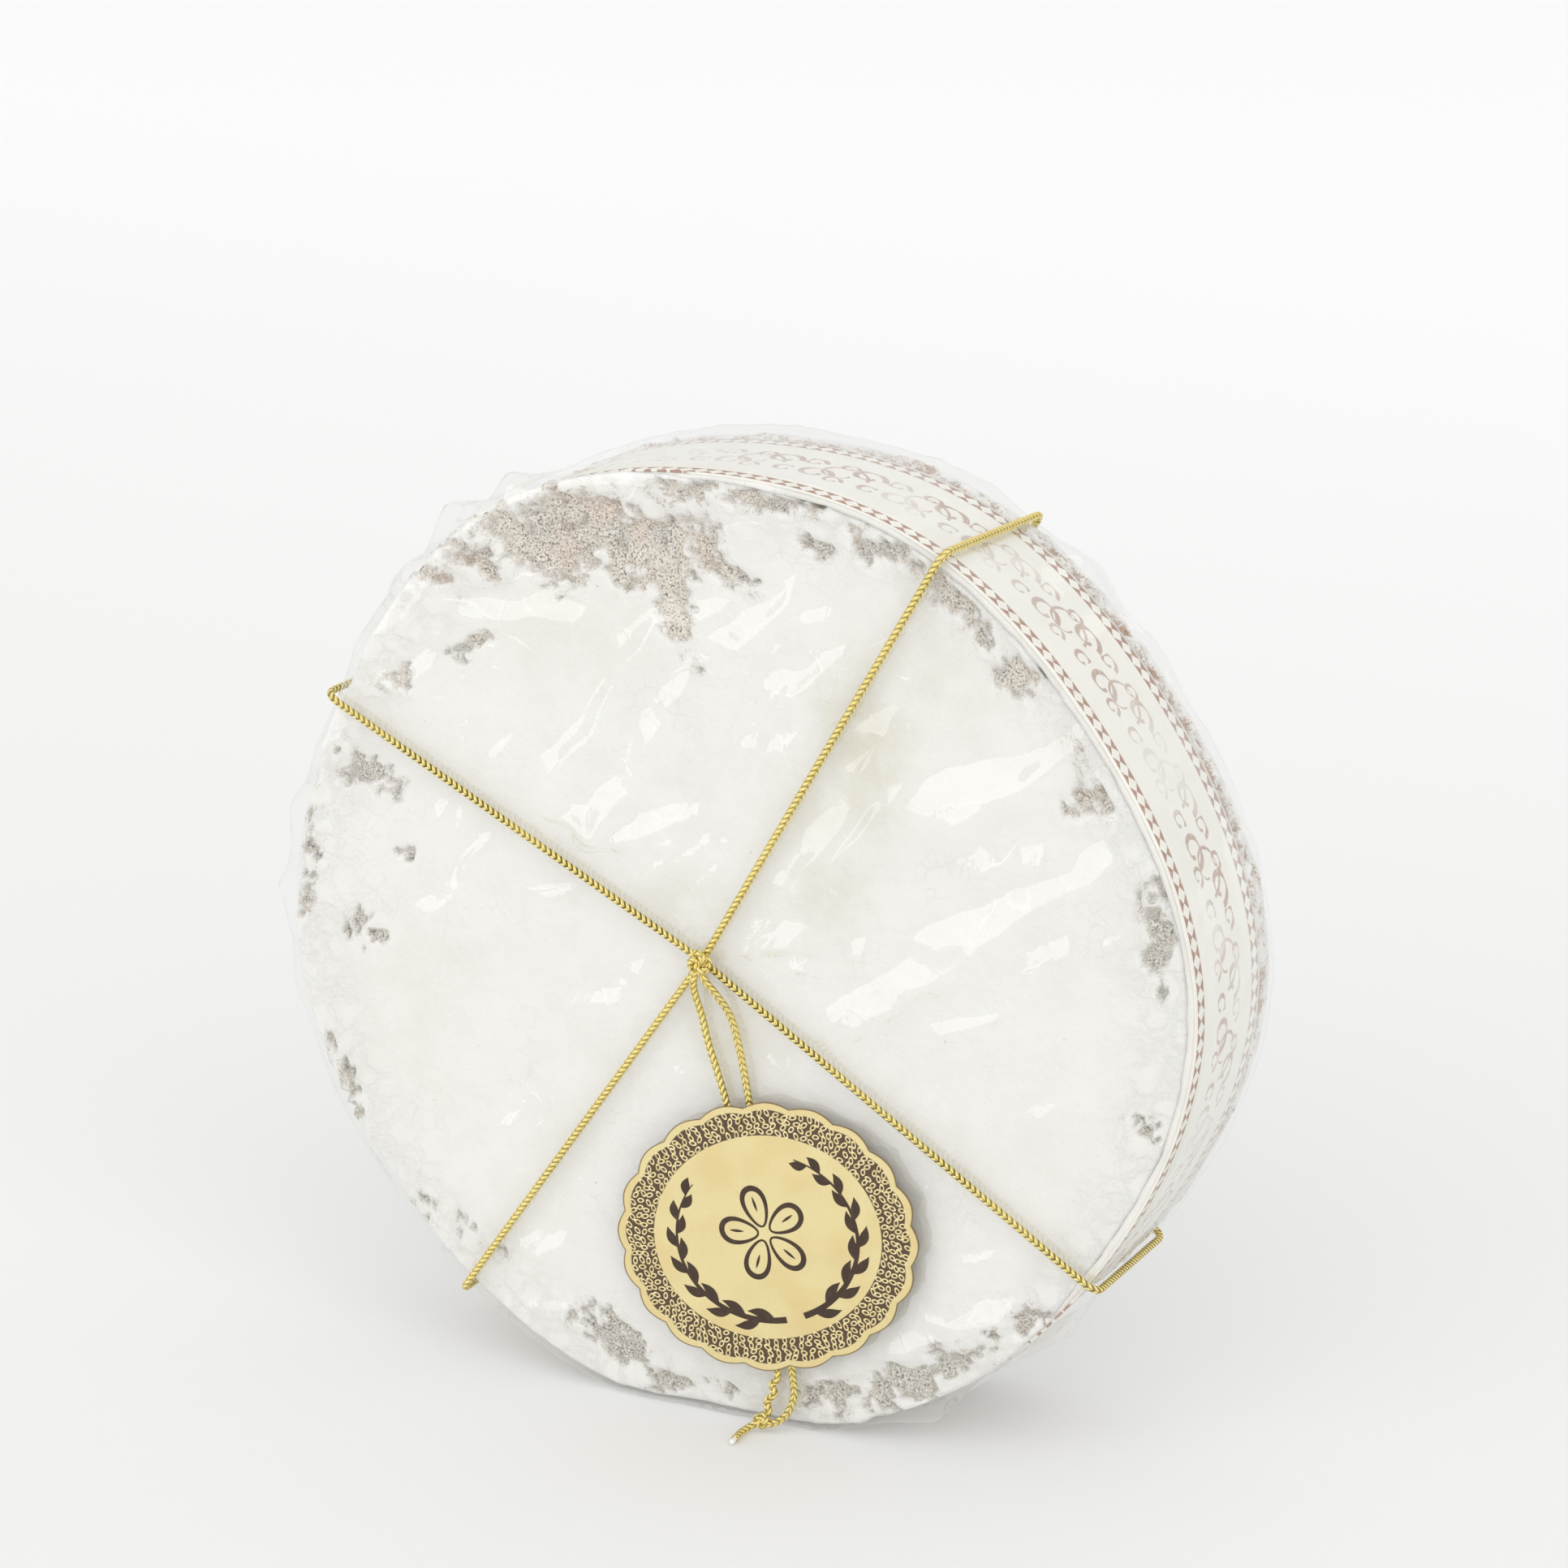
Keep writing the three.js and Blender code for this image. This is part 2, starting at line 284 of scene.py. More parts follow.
class BandSizes(bpy.types.PropertyGroup):
    """Sizes and colours of the printed paper band."""

    front: a_length("Front edge", "Where the band starts along the cake's axis", -14.35 * MM)
    back: a_length("Back edge", "Where the band ends along the cake's axis", 9.8 * MM)
    border: a_length("Border width", "Width of the row of diamonds along each edge", 2.4 * MM)
    diamonds: bpy.props.IntProperty(
        name="Diamonds",
        description="Number of diamonds round the band",
        default=190,
        min=8,
    )
    paper: a_colour("Paper", "Colour of the paper", (0.79, 0.78, 0.715))
    ink: a_colour("Ink", "Colour of the print", (0.30, 0.13, 0.07))


class FilmSizes(bpy.types.PropertyGroup):
    """Sizes of the clear film."""

    side: a_length("Sheet side", "Side of the square that the film was cut to", 0.245)
    crumple: a_length("Crumple", "How far the crumpled film lifts off the faces", 0.8 * MM)
    roughness: bpy.props.FloatProperty(
        name="Roughness",
        description="Roughness of the film's gloss",
        default=0.07,
        min=0,
        max=1,
        subtype="FACTOR",
    )
    haze: bpy.props.FloatProperty(
        name="Haze",
        description="Share of light that the film sends back wherever it is seen from",
        default=0.035,
        min=0,
        max=1,
        subtype="FACTOR",
    )


class CordSizes(bpy.types.PropertyGroup):
    """Sizes and colours of the braided gold cord."""

    diameter: a_length("Diameter", "Thickness of the cord", 1.2 * MM)
    stitch: a_length("Stitch", "Length of one stitch of the braid", 0.95 * MM)
    gold: a_colour("Gold", "Colour of the metal thread", (0.95, 0.77, 0.26))
    # Gaps: a near-black colour painted as the shade in the recesses between stitches.
    gap: a_colour("Gaps", "Colour between the stitches", (0.065, 0.045, 0.006))
    core: a_colour("Core", "Colour of the yarn inside the cord", (0.86, 0.85, 0.80))


class SealSizes(bpy.types.PropertyGroup):
    """Sizes and colours of the gold seal."""

    half_width: a_length("Half width", "Half the seal's longer axis", 24.4 * MM)
    half_height: a_length("Half height", "Half the seal's shorter axis", 19.9 * MM)
    tilt: an_angle("Tilt", "How far the seal is turned, right side up", 22)
    scallops: bpy.props.IntProperty(
        name="Scallops",
        description="Number of lobes round the edge",
        default=20,
        min=3,
    )
    foil: a_colour("Foil", "Colour of the gold foil", (0.90, 0.775, 0.42))
    ground: a_colour(
        "Ground", "Colour of the printed ground between the eyelets", (0.075, 0.045, 0.022)
    )


class StageSizes(bpy.types.PropertyGroup):
    """The floor, the lights and the camera."""

    floor_side: a_length("Floor side", "Length of each side of the floor", 16.0)
    # The floor's colour near the cake; further off it is painted lighter, as painted light.
    floor_colour: a_colour("Floor", "Colour of the floor", (0.64, 0.64, 0.632))
    daylight: bpy.props.FloatProperty(
        name="Daylight",
        description="Strength of the white surroundings",
        default=0.86,
        min=0,
    )
    azimuth: an_angle("Camera azimuth", "How far the camera stands round to the right", 26.37)
    elevation: an_angle("Camera elevation", "How far the camera looks down", 18.07)
    distance: a_length("Camera distance", "From the camera to the middle of the cake", 0.6386)
    lens: bpy.props.FloatProperty(
        name="Lens",
        description="Focal length in millimetres, on a sensor 36 mm wide",
        default=102.48,
        min=1,
    )


SETTINGS = {
    "panforte_cake": CakeSizes,
    "panforte_band": BandSizes,
    "panforte_film": FilmSizes,
    "panforte_cord": CordSizes,
    "panforte_seal": SealSizes,
    "panforte_stage": StageSizes,
}


# ---- shader maths ----
class Level:
    """A socket of a finish, on which sums can be written."""

    def __init__(self, finish, socket):
        self.finish = finish
        self.socket = socket

    def __add__(self, other):
        return self.finish.maths("ADD", self, other)

    def __radd__(self, other):
        return self.finish.maths("ADD", other, self)

    def __sub__(self, other):
        return self.finish.maths("SUBTRACT", self, other)

    def __rsub__(self, other):
        return self.finish.maths("SUBTRACT", other, self)

    def __mul__(self, other):
        return self.finish.maths("MULTIPLY", self, other)

    def __rmul__(self, other):
        return self.finish.maths("MULTIPLY", other, self)

    def __truediv__(self, other):
        return self.finish.maths("DIVIDE", self, other)

    def __pow__(self, other):
        return self.finish.maths("POWER", self, other)

    def __abs__(self):
        return self.finish.maths("ABSOLUTE", self)


class Finish:
    """The nodes of one material."""

    def __init__(self, name):
        self.material = bpy.data.materials.new(name)
        self.material.use_nodes = True
        self.tree = self.material.node_tree
        self.tree.nodes.clear()

    def node(self, kind, settings=None, values=None):
        """Adds a node: its settings first, then the values or links of its sockets."""
        made = self.tree.nodes.new("ShaderNode" + kind)
        for key, value in (settings or {}).items():
            setattr(made, key, value)
        for key, value in (values or {}).items():
            if isinstance(value, Level):
                self.tree.links.new(value.socket, made.inputs[key])
            else:
                made.inputs[key].default_value = value
        return made

    def level(self, kind, settings=None, values=None, output=0):
        return Level(self, self.node(kind, settings, values).outputs[output])

    def maths(self, operation, first, second=0.0):
        return self.level("Math", {"operation": operation}, {0: first, 1: second})

    def vector(self, operation, values, output=0):
        return self.level("VectorMath", {"operation": operation}, values, output)

    def place(self):
        return self.level("TexCoord", output="Object")

    def attribute(self, name):
        return self.level("Attribute", {"attribute_name": name}, output="Fac")

    def parts(self, vector):
        split = self.node("SeparateXYZ", None, {0: vector})
        return [Level(self, socket) for socket in split.outputs]

    def grain(self, vector, size, detail, roughness, warp=0.0):
        """Noise whose features are about `size` metres across."""
        values = {
            "Vector": vector,
            "Scale": 1 / size,
            "Detail": detail,
            "Roughness": roughness,
            "Distortion": warp,
        }
        return self.level("TexNoise", None, values)

    def bent(self, vector, size):
        """Places pushed aside a little by noise, so that straight patterns bend."""
        values = {"Vector": vector, "Scale": 1 / size, "Detail": 3.0}
        noisy = self.level("TexNoise", None, values, output="Color")
        push = self.vector("SUBTRACT", {0: noisy, 1: (0.5, 0.5, 0.5)})
        push = self.vector("SCALE", {0: push, 3: 0.7 * size})
        return self.vector("ADD", {0: push, 1: vector})

    def net(self, vector, size):
        """Distance from the edges of a net of uneven cells about `size` metres across."""
        values = {"Vector": vector, "Scale": 1 / size}
        return self.level("TexVoronoi", {"feature": "DISTANCE_TO_EDGE"}, values)

    def ramp(self, value, low, high, start=0.0, end=1.0):
        """Rises smoothly from start to end as value goes from low to high."""
        settings = {"interpolation_type": "SMOOTHSTEP"}
        values = {0: value, 1: low, 2: high, 3: start, 4: end}
        return self.level("MapRange", settings, values)

    def mix(self, share, first, second):
        values = {0: share, 6: first, 7: second}
        return self.level("Mix", {"data_type": "RGBA"}, values, output=2)

    def bump(self, height, distance, strength):
        values = {"Height": height, "Distance": distance, "Strength": strength}
        return self.level("Bump", None, values)

    def principled(self, values):
        return self.level("BsdfPrincipled", None, values)

    def done(self, shader):
        """Sends a shader to the surface and hands the material back."""
        self.node("OutputMaterial", None, {"Surface": shader})
        return self.material


# ---- shapes of the round ----
def clamp(value, low=0.0, high=1.0):
    return max(low, min(high, value))


def ease(low, high, value):
    """Rises smoothly from 0 at low to 1 at high."""
    share = clamp((value - low) / (high - low))
    return share * share * (3 - 2 * share)


def apart(first, second):
    """The angle between two directions in degrees, from 0 to 180."""
    return abs((first - second + 180) % 360 - 180)


def rotated(a, b, angle):
    """A point of a plane, turned about the plane's origin."""
    across = math.cos(angle)
    along = math.sin(angle)
    return a * across - b * along, a * along + b * across


def outward(angle):
    """The direction away from the cake's axis at an angle from +X towards +Z."""
    return Vector((math.cos(angle), 0, math.sin(angle)))


def outline(angle, inset):
    """The hand-shaped round's radius at an angle from +X towards +Z, pressed flat at the base."""
    radius = PARCEL_RADIUS - inset
    for count, height, crest in WAVES:
        radius += height * math.cos(count * (angle - math.radians(crest)))
    drop = -math.sin(angle)
    if drop > 0.5:
        radius = min(radius, (CENTRE_HEIGHT - inset) / drop)
    return radius


def centre():
    """The cake's centre in the shared frame, found from the film and the knot."""
    film_low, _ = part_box("film_wrap")
    knot_low, knot_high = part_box("centre_knot")
    return Vector(
        (
            (knot_low.x + knot_high.x) / 2 - KNOT[0] * MM,
            film_low.y - CAD_FILM_FRONT * MM,
            film_low.z + CENTRE_HEIGHT * MM,
        )
    )


CENTRE = centre()


def rough(x, y, z, size, seed=0.0):
    """Smooth noise from -1 to 1 with features about `size` mm across."""
    return noise.noise(Vector((x / size + seed, y / size - seed, z / size + 2.3 * seed)))


def creased(x, y, z, size, seed=0.0):
    """Flat-sided dents that meet in sharp ridges, from 0 in a dent to 1 on a ridge."""
    warp = 0.35 * size
    point = Vector(
        (
            (x + warp * rough(x, y, z, 1.4 * size, seed + 5)) / size + seed,
            (y + warp * rough(x, y, z, 1.4 * size, seed + 9)) / size - seed,
            z / size + 3.1 * seed,
        )
    )
    near = noise.voronoi(point)[0]
    return clamp(1 - 1.5 * (near[1] - near[0]))


def segment_distance(x, z, x0, z0, x1, z1):
    """Distance from a segment, below 0 on its right, and how far along it is, from 0 to 1."""
    dx = x1 - x0
    dz = z1 - z0
    square = dx * dx + dz * dz
    along = clamp(((x - x0) * dx + (z - z0) * dz) / square)
    ox = x - x0 - along * dx
    oz = z - z0 - along * dz
    side = dx * oz - dz * ox
    return math.copysign(math.hypot(ox, oz), side), along


# ---- meshes ----
def link(name, bm, material):
    """Turns a bmesh in millimetres from the cake's centre into an object in the shared frame."""
    mesh = bpy.data.meshes.new(name)
    bm.to_mesh(mesh)
    bm.free()
    mesh.transform(Matrix.Translation(CENTRE) @ Matrix.Diagonal((MM, MM, MM, 1)))
    mesh.materials.append(material)
    for polygon in mesh.polygons:
        polygon.use_smooth = True
    made = bpy.data.objects.new(name, mesh)
    bpy.context.scene.collection.objects.link(made)
    return made


def hand_over(piece, slot_name, *nodes):
    """Puts a piece on the body and hides the nodes that it stands for; slot_name is not used."""
    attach(piece, BODY)
    if nodes:
        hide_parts(*nodes)


def spun(profile, steps, axis, closed=False):
    """Spins a profile of (radius, y) points all the way round an axis."""
    bm = bmesh.new()
    points = [bm.verts.new((radius, y, 0)) for radius, y in profile]
    pairs = list(zip(points, points[1:]))
    if closed:
        pairs.append((points[-1], points[0]))
    edges = [bm.edges.new(pair) for pair in pairs]
    bmesh.ops.spin(
        bm,
        geom=points + edges,
        cent=(0, 0, 0),
        axis=axis,
        dvec=(0, 0, 0),
        angle=TURN,
        steps=steps,
        use_merge=True,
    )
    bmesh.ops.remove_doubles(bm, verts=bm.verts, dist=SAME_PLACE)
    return bm


def turned(profile, steps, closed=False):
    """A profile of (radius, y) points spun about the cake's axis, its faces outwards."""
    bm = spun(profile, steps, (0, -1, 0), closed)
    bmesh.ops.recalc_face_normals(bm, faces=bm.faces)
    return bm


def spread(start, end, count):
    """Points from start to end, start left out."""
    return [
        (
            start[0] + (end[0] - start[0]) * i / count,
            start[1] + (end[1] - start[1]) * i / count,
        )
        for i in range(1, count + 1)
    ]


def arc(middle, radius, first, last, count):
    """Points of an arc from the first angle to the last, the first left out."""
    angles = [first + (last - first) * i / count for i in range(1, count + 1)]
    return [(middle[0] + radius * math.cos(a), middle[1] + radius * math.sin(a)) for a in angles]


def round_profile(radius, front, back, corner, rings, opening=0):
    """Half a section of a disc with rounded edges, from the middle of its front to its back.

    rings says how many there are on the face, at the front corner, on the side, at the back
    corner and on the back, and opening is the radius of a hole in the back."""
    face, near, side, far, rear = rings
    flat = radius - corner
    profile = [(0, front)]
    profile += spread((0, front), (flat, front), face)
    profile += arc((flat, front + corner), corner, -math.pi / 2, 0, near)
    profile += spread((radius, front + corner), (radius, back - corner), side)
    profile += arc((flat, back - corner), corner, 0, math.pi / 2, far)
    profile += spread((flat, back), (opening, back), rear)
    return profile


def rounded_out(vert, base, inset):
    """Moves a vertex of a turned shape out or in to the hand-shaped outline."""
    angle = math.atan2(vert.co.z, vert.co.x)
    share = outline(angle, inset) / base
    vert.co.x *= share
    vert.co.z *= share


# ---- cake ----
def bareness(x, z):
    """How bare the front is: over about 0.5 the sugar has come off."""
    wx = x + 1.8 * rough(x, 0, z, 5, 3) + 1.1 * rough(x, 0, z, 1.9, 8)
    wz = z + 1.8 * rough(x, 0, z, 5, 13) + 1.1 * rough(x, 0, z, 1.9, 18)
    most = 0.0
    for px, pz, half_long, half_wide, angle, strength in BARE_PATCHES:
        dx = wx - px
        dz = wz - pz
        if abs(dx) > PATCH_REACH or abs(dz) > PATCH_REACH:
            continue
        along, across = rotated(dx, dz, -math.radians(angle))
        reach = math.hypot(along / (half_long + 0.8), across / (half_wide + 0.6))
        most = max(most, strength * clamp(1.3 - 0.75 * reach))
    return most


def greasiness(x, z):
    """How far the cake's fat has soaked into the sugar here."""
    total = 0.0
    for px, pz, half_x, half_z, strength in GREASE:
        reach = math.hypot((x - px) / half_x, (z - pz) / half_z) + 0.35 * rough(x, 0, z, 7, 15)
        total = max(total, strength * clamp(1.15 - 0.8 * reach))
    return total


def make_cake(sizes):
    radius = sizes.radius / MM
    front = sizes.front / MM
    back = sizes.back / MM
    relief = sizes.relief / MM
    inset = PARCEL_RADIUS - radius
    face_end = front + 2.0
    spill_width = 1.35
    corner = 0.8
    bm = turned(round_profile(radius, front, back, corner, (118, 4, 24, 4, 50)), 416)
    bare = bm.verts.layers.float.new("bare")
    grease = bm.verts.layers.float.new("grease")
    bm.normal_update()
    moves = []
    for vert in bm.verts:
        rounded_out(vert, radius, inset)
        angle = math.atan2(vert.co.z, vert.co.x)
        # The sugar spills over the paper's front edge, and the rear rim stands out past it.
        spill = sugared_over(angle) * ease(front + 3.4, face_end, vert.co.y)
        spill *= ease(0.88 * radius, radius, math.hypot(vert.co.x, vert.co.z))
        ragged = 1 + 0.25 * rough(vert.co.x, 0, vert.co.z, 6, 14)
        grown = 1 + (0.3 + spill_width * spill * ragged) / radius
        grown += spill_width / radius * ease(9.7, 10.5, vert.co.y)
        vert.co.x *= grown
        vert.co.z *= grown
        x, y, z = vert.co
        lump = 0.16 * rough(x, y, z, 9, 1) + 0.10 * rough(x, y, z, 3.5, 2)
        lump += 0.07 * rough(x, y, z, 1.4, 4)
        if y < face_end:
            vert[grease] = greasiness(x, z)
            amount = bareness(x, z)
            broken = 0.45 * rough(x, y, z, 2.6, 6) + 0.50 * rough(x, y, z, 1.2, 7)
            lower = ease(15, -15, z)
            amount += (broken * (1 + 0.9 * lower) - 0.1 * lower) * ease(0.1, 0.4, amount)
            edge = ease(radius - 7, radius - 1, math.hypot(x, z))
            amount += 0.30 * edge * (rough(x, y, z, 5, 11) - 0.15)
        else:
            patchy = rough(x, y, z, 11, 21) + 0.5 * rough(x, y, z, 4, 22)
            amount = 0.9 * patchy - 0.05
            on_rear_rim = y < back - 1.0
            if on_rear_rim:
                amount = 0.62 * creased(x, 1.4 * y, z, 6.5, 23) + 0.7 * rough(x, y, z, 1.5, 24)
        amount = clamp(amount)
        vert[bare] = amount
        hole = ease(0.42, 0.60, amount)
        crumbs = ease(0.16, 0.40, amount) * (1 - hole)
        lump += crumbs * (0.22 + 0.5 * rough(x, y, z, 1.6, 31))
        lump += hole * 0.12 * rough(x, y, z, 0.9, 33)
        moves.append((vert, vert.normal * (lump - relief * hole)))
    for vert, move in moves:
        vert.co += move
    return link("sugared_cake", bm, cake_finish(sizes))


def cake_finish(sizes):
    f = Finish("icing sugar and crumb")
    place = f.place()
    bare = f.attribute("bare")
    fine = f.grain(place, 1.1 * MM, 5, 0.65)
    finest = f.grain(place, 0.36 * MM, 3, 0.75)
    wide = f.grain(place, 14 * MM, 3, 0.55)
    middle = f.grain(place, 5 * MM, 3, 0.6)
    amount = bare + (fine - 0.5) * 1.1 + (finest - 0.5) * 1.6
    off = f.ramp(amount, 0.48, 0.56)
    thin = f.ramp(bare, 0.16, 0.50) * 0.25
    # Bare crumb: beige to grey, warmer above and brown at the rear rim, with dark and light specks.
    warm = f.mix(f.ramp(middle, 0.48, 0.64), sizes.crumb, (0.54, 0.51, 0.46, 1))
    _, deep, high = f.parts(place)
    upper = f.ramp(high, CENTRE.z + 15 * MM, CENTRE.z + 40 * MM)
    warm = f.mix(f.ramp(wide, 0.50, 0.64) * upper, warm, (0.61, 0.50, 0.42, 1))
    warm = f.mix((1 - upper) * 0.7, warm, (0.50, 0.48, 0.43, 1))
    rear = f.ramp(deep, CENTRE.y + 9.0 * MM, CENTRE.y + 10.0 * MM)
    warm = f.mix(rear * 0.9, warm, (0.42, 0.21, 0.10, 1))
    pepper = f.ramp(finest, 0.465, 0.41)
    salt = f.ramp(finest, 0.53, 0.60)
    crumb = f.mix(pepper * 0.95, warm, (0.10, 0.08, 0.055, 1))
    crumb = f.mix(salt * (rear * -0.5 + 0.85), crumb, (0.76, 0.73, 0.67, 1))
    dark = f.ramp(f.grain(place, 2.6 * MM, 3, 0.6), 0.57, 0.66)
    crumb = f.mix(dark * 0.4, crumb, (0.20, 0.16, 0.11, 1))
    # Painted shade: a darker ring along the inner edge of each bare patch, at the foot of the sugar
    # round the sunken crumb.
    rim = f.ramp(amount, 0.50, 0.56) * f.ramp(amount, 0.72, 0.60)
    crumb = f.mix(rim * 0.4, crumb, (0.24, 0.20, 0.15, 1))
    # Sugar: nearly even white, a little greyer where it is thin.
    veil = f.ramp(middle, 0.35, 0.75) * 0.3 + f.ramp(wide, 0.45, 0.75) * 0.4
    sugar = f.mix(veil, sizes.sugar, (0.725, 0.71, 0.668, 1))
    sugar = f.mix(thin, sugar, (0.54, 0.52, 0.49, 1))
    # Fine cracks where the crust is uneven.
    bent = f.bent(place, 3.5 * MM)
    crack = f.net(bent, 2.6 * MM)
    cracked = f.ramp(crack, 0.06, 0.0) * f.ramp(f.grain(place, 11 * MM, 3, 0.6), 0.52, 0.68)
    sugar = f.mix(cracked * 0.13, sugar, (0.42, 0.40, 0.37, 1))
    # Ragged clefts beside the bare patches near the rim.
    flat = f.vector("SUBTRACT", {0: place, 1: CENTRE})
    flat = f.vector("MULTIPLY", {0: flat, 1: (1, 0, 1)})
    away = f.vector("LENGTH", {0: flat}, output="Value")
    near_rim = f.ramp(away, 57 * MM, 67 * MM)
    ragged = f.net(bent, 4.2 * MM) + (fine - 0.5) * 0.5 + (finest - 0.5) * 0.3
    beside = f.ramp(bare, 0.05, 0.30) * near_rim
    sugar = f.mix(f.ramp(ragged, 0.03, -0.04) * beside * 0.7, sugar, (0.36, 0.28, 0.19, 1))
    # A few dark specks, and grease from the cake.
    specks = f.ramp(f.grain(place, 0.9 * MM, 2, 0.5), 0.755, 0.80)
    sugar = f.mix(specks * 0.6, sugar, (0.32, 0.29, 0.25, 1))
    grease = f.attribute("grease")
    sugar = f.mix(grease * f.ramp(middle, 0.25, 0.7, 0.4, 1.0), sugar, (0.62, 0.59, 0.48, 1))
    colour = f.mix(off, sugar, crumb)
    height = fine * 0.6 + finest * 0.4 + f.ramp(ragged, 0.0, 0.16) * near_rim * 0.5
    look = {
        "Base Color": colour,
        "Roughness": f.ramp(finest, 0.3, 0.7, 0.82, 0.98),
        "Specular IOR Level": 0.2,
        "Subsurface Weight": 0.6,
        "Subsurface Radius": (1.0, 0.95, 0.85),
        "Subsurface Scale": 2.5 * MM,
        "Normal": f.bump(height, 0.5 * MM, 0.55),
    }
    return f.done(f.principled(look))


# ---- wafer edge and printed band ----
def sugared_over(angle):
    """1 where sugar covers the front edge of the paper, and 0 on the right, where it shows."""
    middle_of_bare_edge = 28
    return ease(56, 84, apart(math.degrees(angle), middle_of_bare_edge))


def make_wafer(sizes):
    inset = 1.3
    outer = PARCEL_RADIUS - inset
    inner = outer - 0.6
    front = -14.2
    back = 9.2
    profile = [(outer, front + 0.15), (outer - 0.2, front), (inner + 0.15, front)]
    profile += [(inner, front + 0.2), (inner, front + 0.7), (inner, front + 1.6)]
    profile += [(inner, back), (outer, back)]
    profile += [(outer, 0), (outer, front + 2.0), (outer, front + 1.0)]
    bm = turned(profile, 720, closed=True)
    for vert in bm.verts:
        rounded_out(vert, outer, inset)
        x, y, z = vert.co
        lip = ease(front + 2.2, front + 0.3, y)
        angle = math.atan2(z, x)
        radial = outward(angle)
        inside = ease(outer - 0.25, inner, math.hypot(x, z) * outer / outline(angle, inset))
        wide = 0.10 + 0.35 * rough(x, 0, z, 16, 41) + 0.2 * rough(x, 0, z, 3, 42)
        vert.co -= radial * lip * inside * max(0.0, wide)
        vert.co += radial * lip * 0.16 * rough(x, 0, z, 5, 44)
        vert.co.y += lip * (0.30 * rough(x, 0, z, 7, 43) + 0.10 * rough(x, 0, z, 1.5, 45))
        vert.co.y += lip * sugared_over(angle) * 1.9
        vert.co += radial * lip * (1 - inside) * 0.40
    return link("wafer_edge", bm, wafer_finish(sizes))


def wafer_finish(sizes):
    f = Finish("wafer paper")
    place = f.place()
    fine = f.grain(place, 0.5 * MM, 4, 0.65)
    wide = f.grain(place, 6 * MM, 3, 0.6)
    colour = f.mix(f.ramp(wide, 0.4, 0.7) * 0.6, sizes.wafer, (0.72, 0.71, 0.68, 1))
    colour = f.mix(f.ramp(fine, 0.60, 0.75) * 0.35, colour, (0.62, 0.52, 0.36, 1))
    look = {
        "Base Color": colour,
        "Roughness": f.ramp(fine, 0.3, 0.7, 0.75, 0.95),
        "Specular IOR Level": 0.25,
        "Normal": f.bump(fine, 0.25 * MM, 0.5),
    }
    return f.done(f.principled(look))


def make_band(sizes):
    inset = 0.7
    outer = PARCEL_RADIUS - inset
    inner = outer - 0.3
    front = sizes.front / MM
    back = sizes.back / MM
    profile = [(outer, front)] + spread((outer, front), (outer, back), 24)
    profile += [(inner, back), (inner, front)]
    bm = turned(profile, 720, closed=True)
    for vert in bm.verts:
        rounded_out(vert, outer, inset)
        x, y, z = vert.co
        angle = math.atan2(z, x)
        swell = 0.14 * rough(x, y, z, 22, 51) + 0.06 * rough(x, y, z, 8, 52)
        vert.co += outward(angle) * swell
        vert.co.y += 0.25 * rough(x, 0, z, 18, 53)
        vert.co.y += 2.2 * sugared_over(angle) * ease(front + 4, front, y)
    prints = bm.loops.layers.uv.new("print")
    for face in bm.faces:
        middle = face.calc_center_median()
        around = math.atan2(middle.z, middle.x)
        for loop in face.loops:
            angle = math.atan2(loop.vert.co.z, loop.vert.co.x)
            if angle - around > math.pi:
                angle -= TURN
            if around - angle > math.pi:
                angle += TURN
            loop[prints].uv = (angle / TURN + 0.5, (loop.vert.co.y - front) / (back - front))
    return link("paper_band", bm, band_finish(sizes))


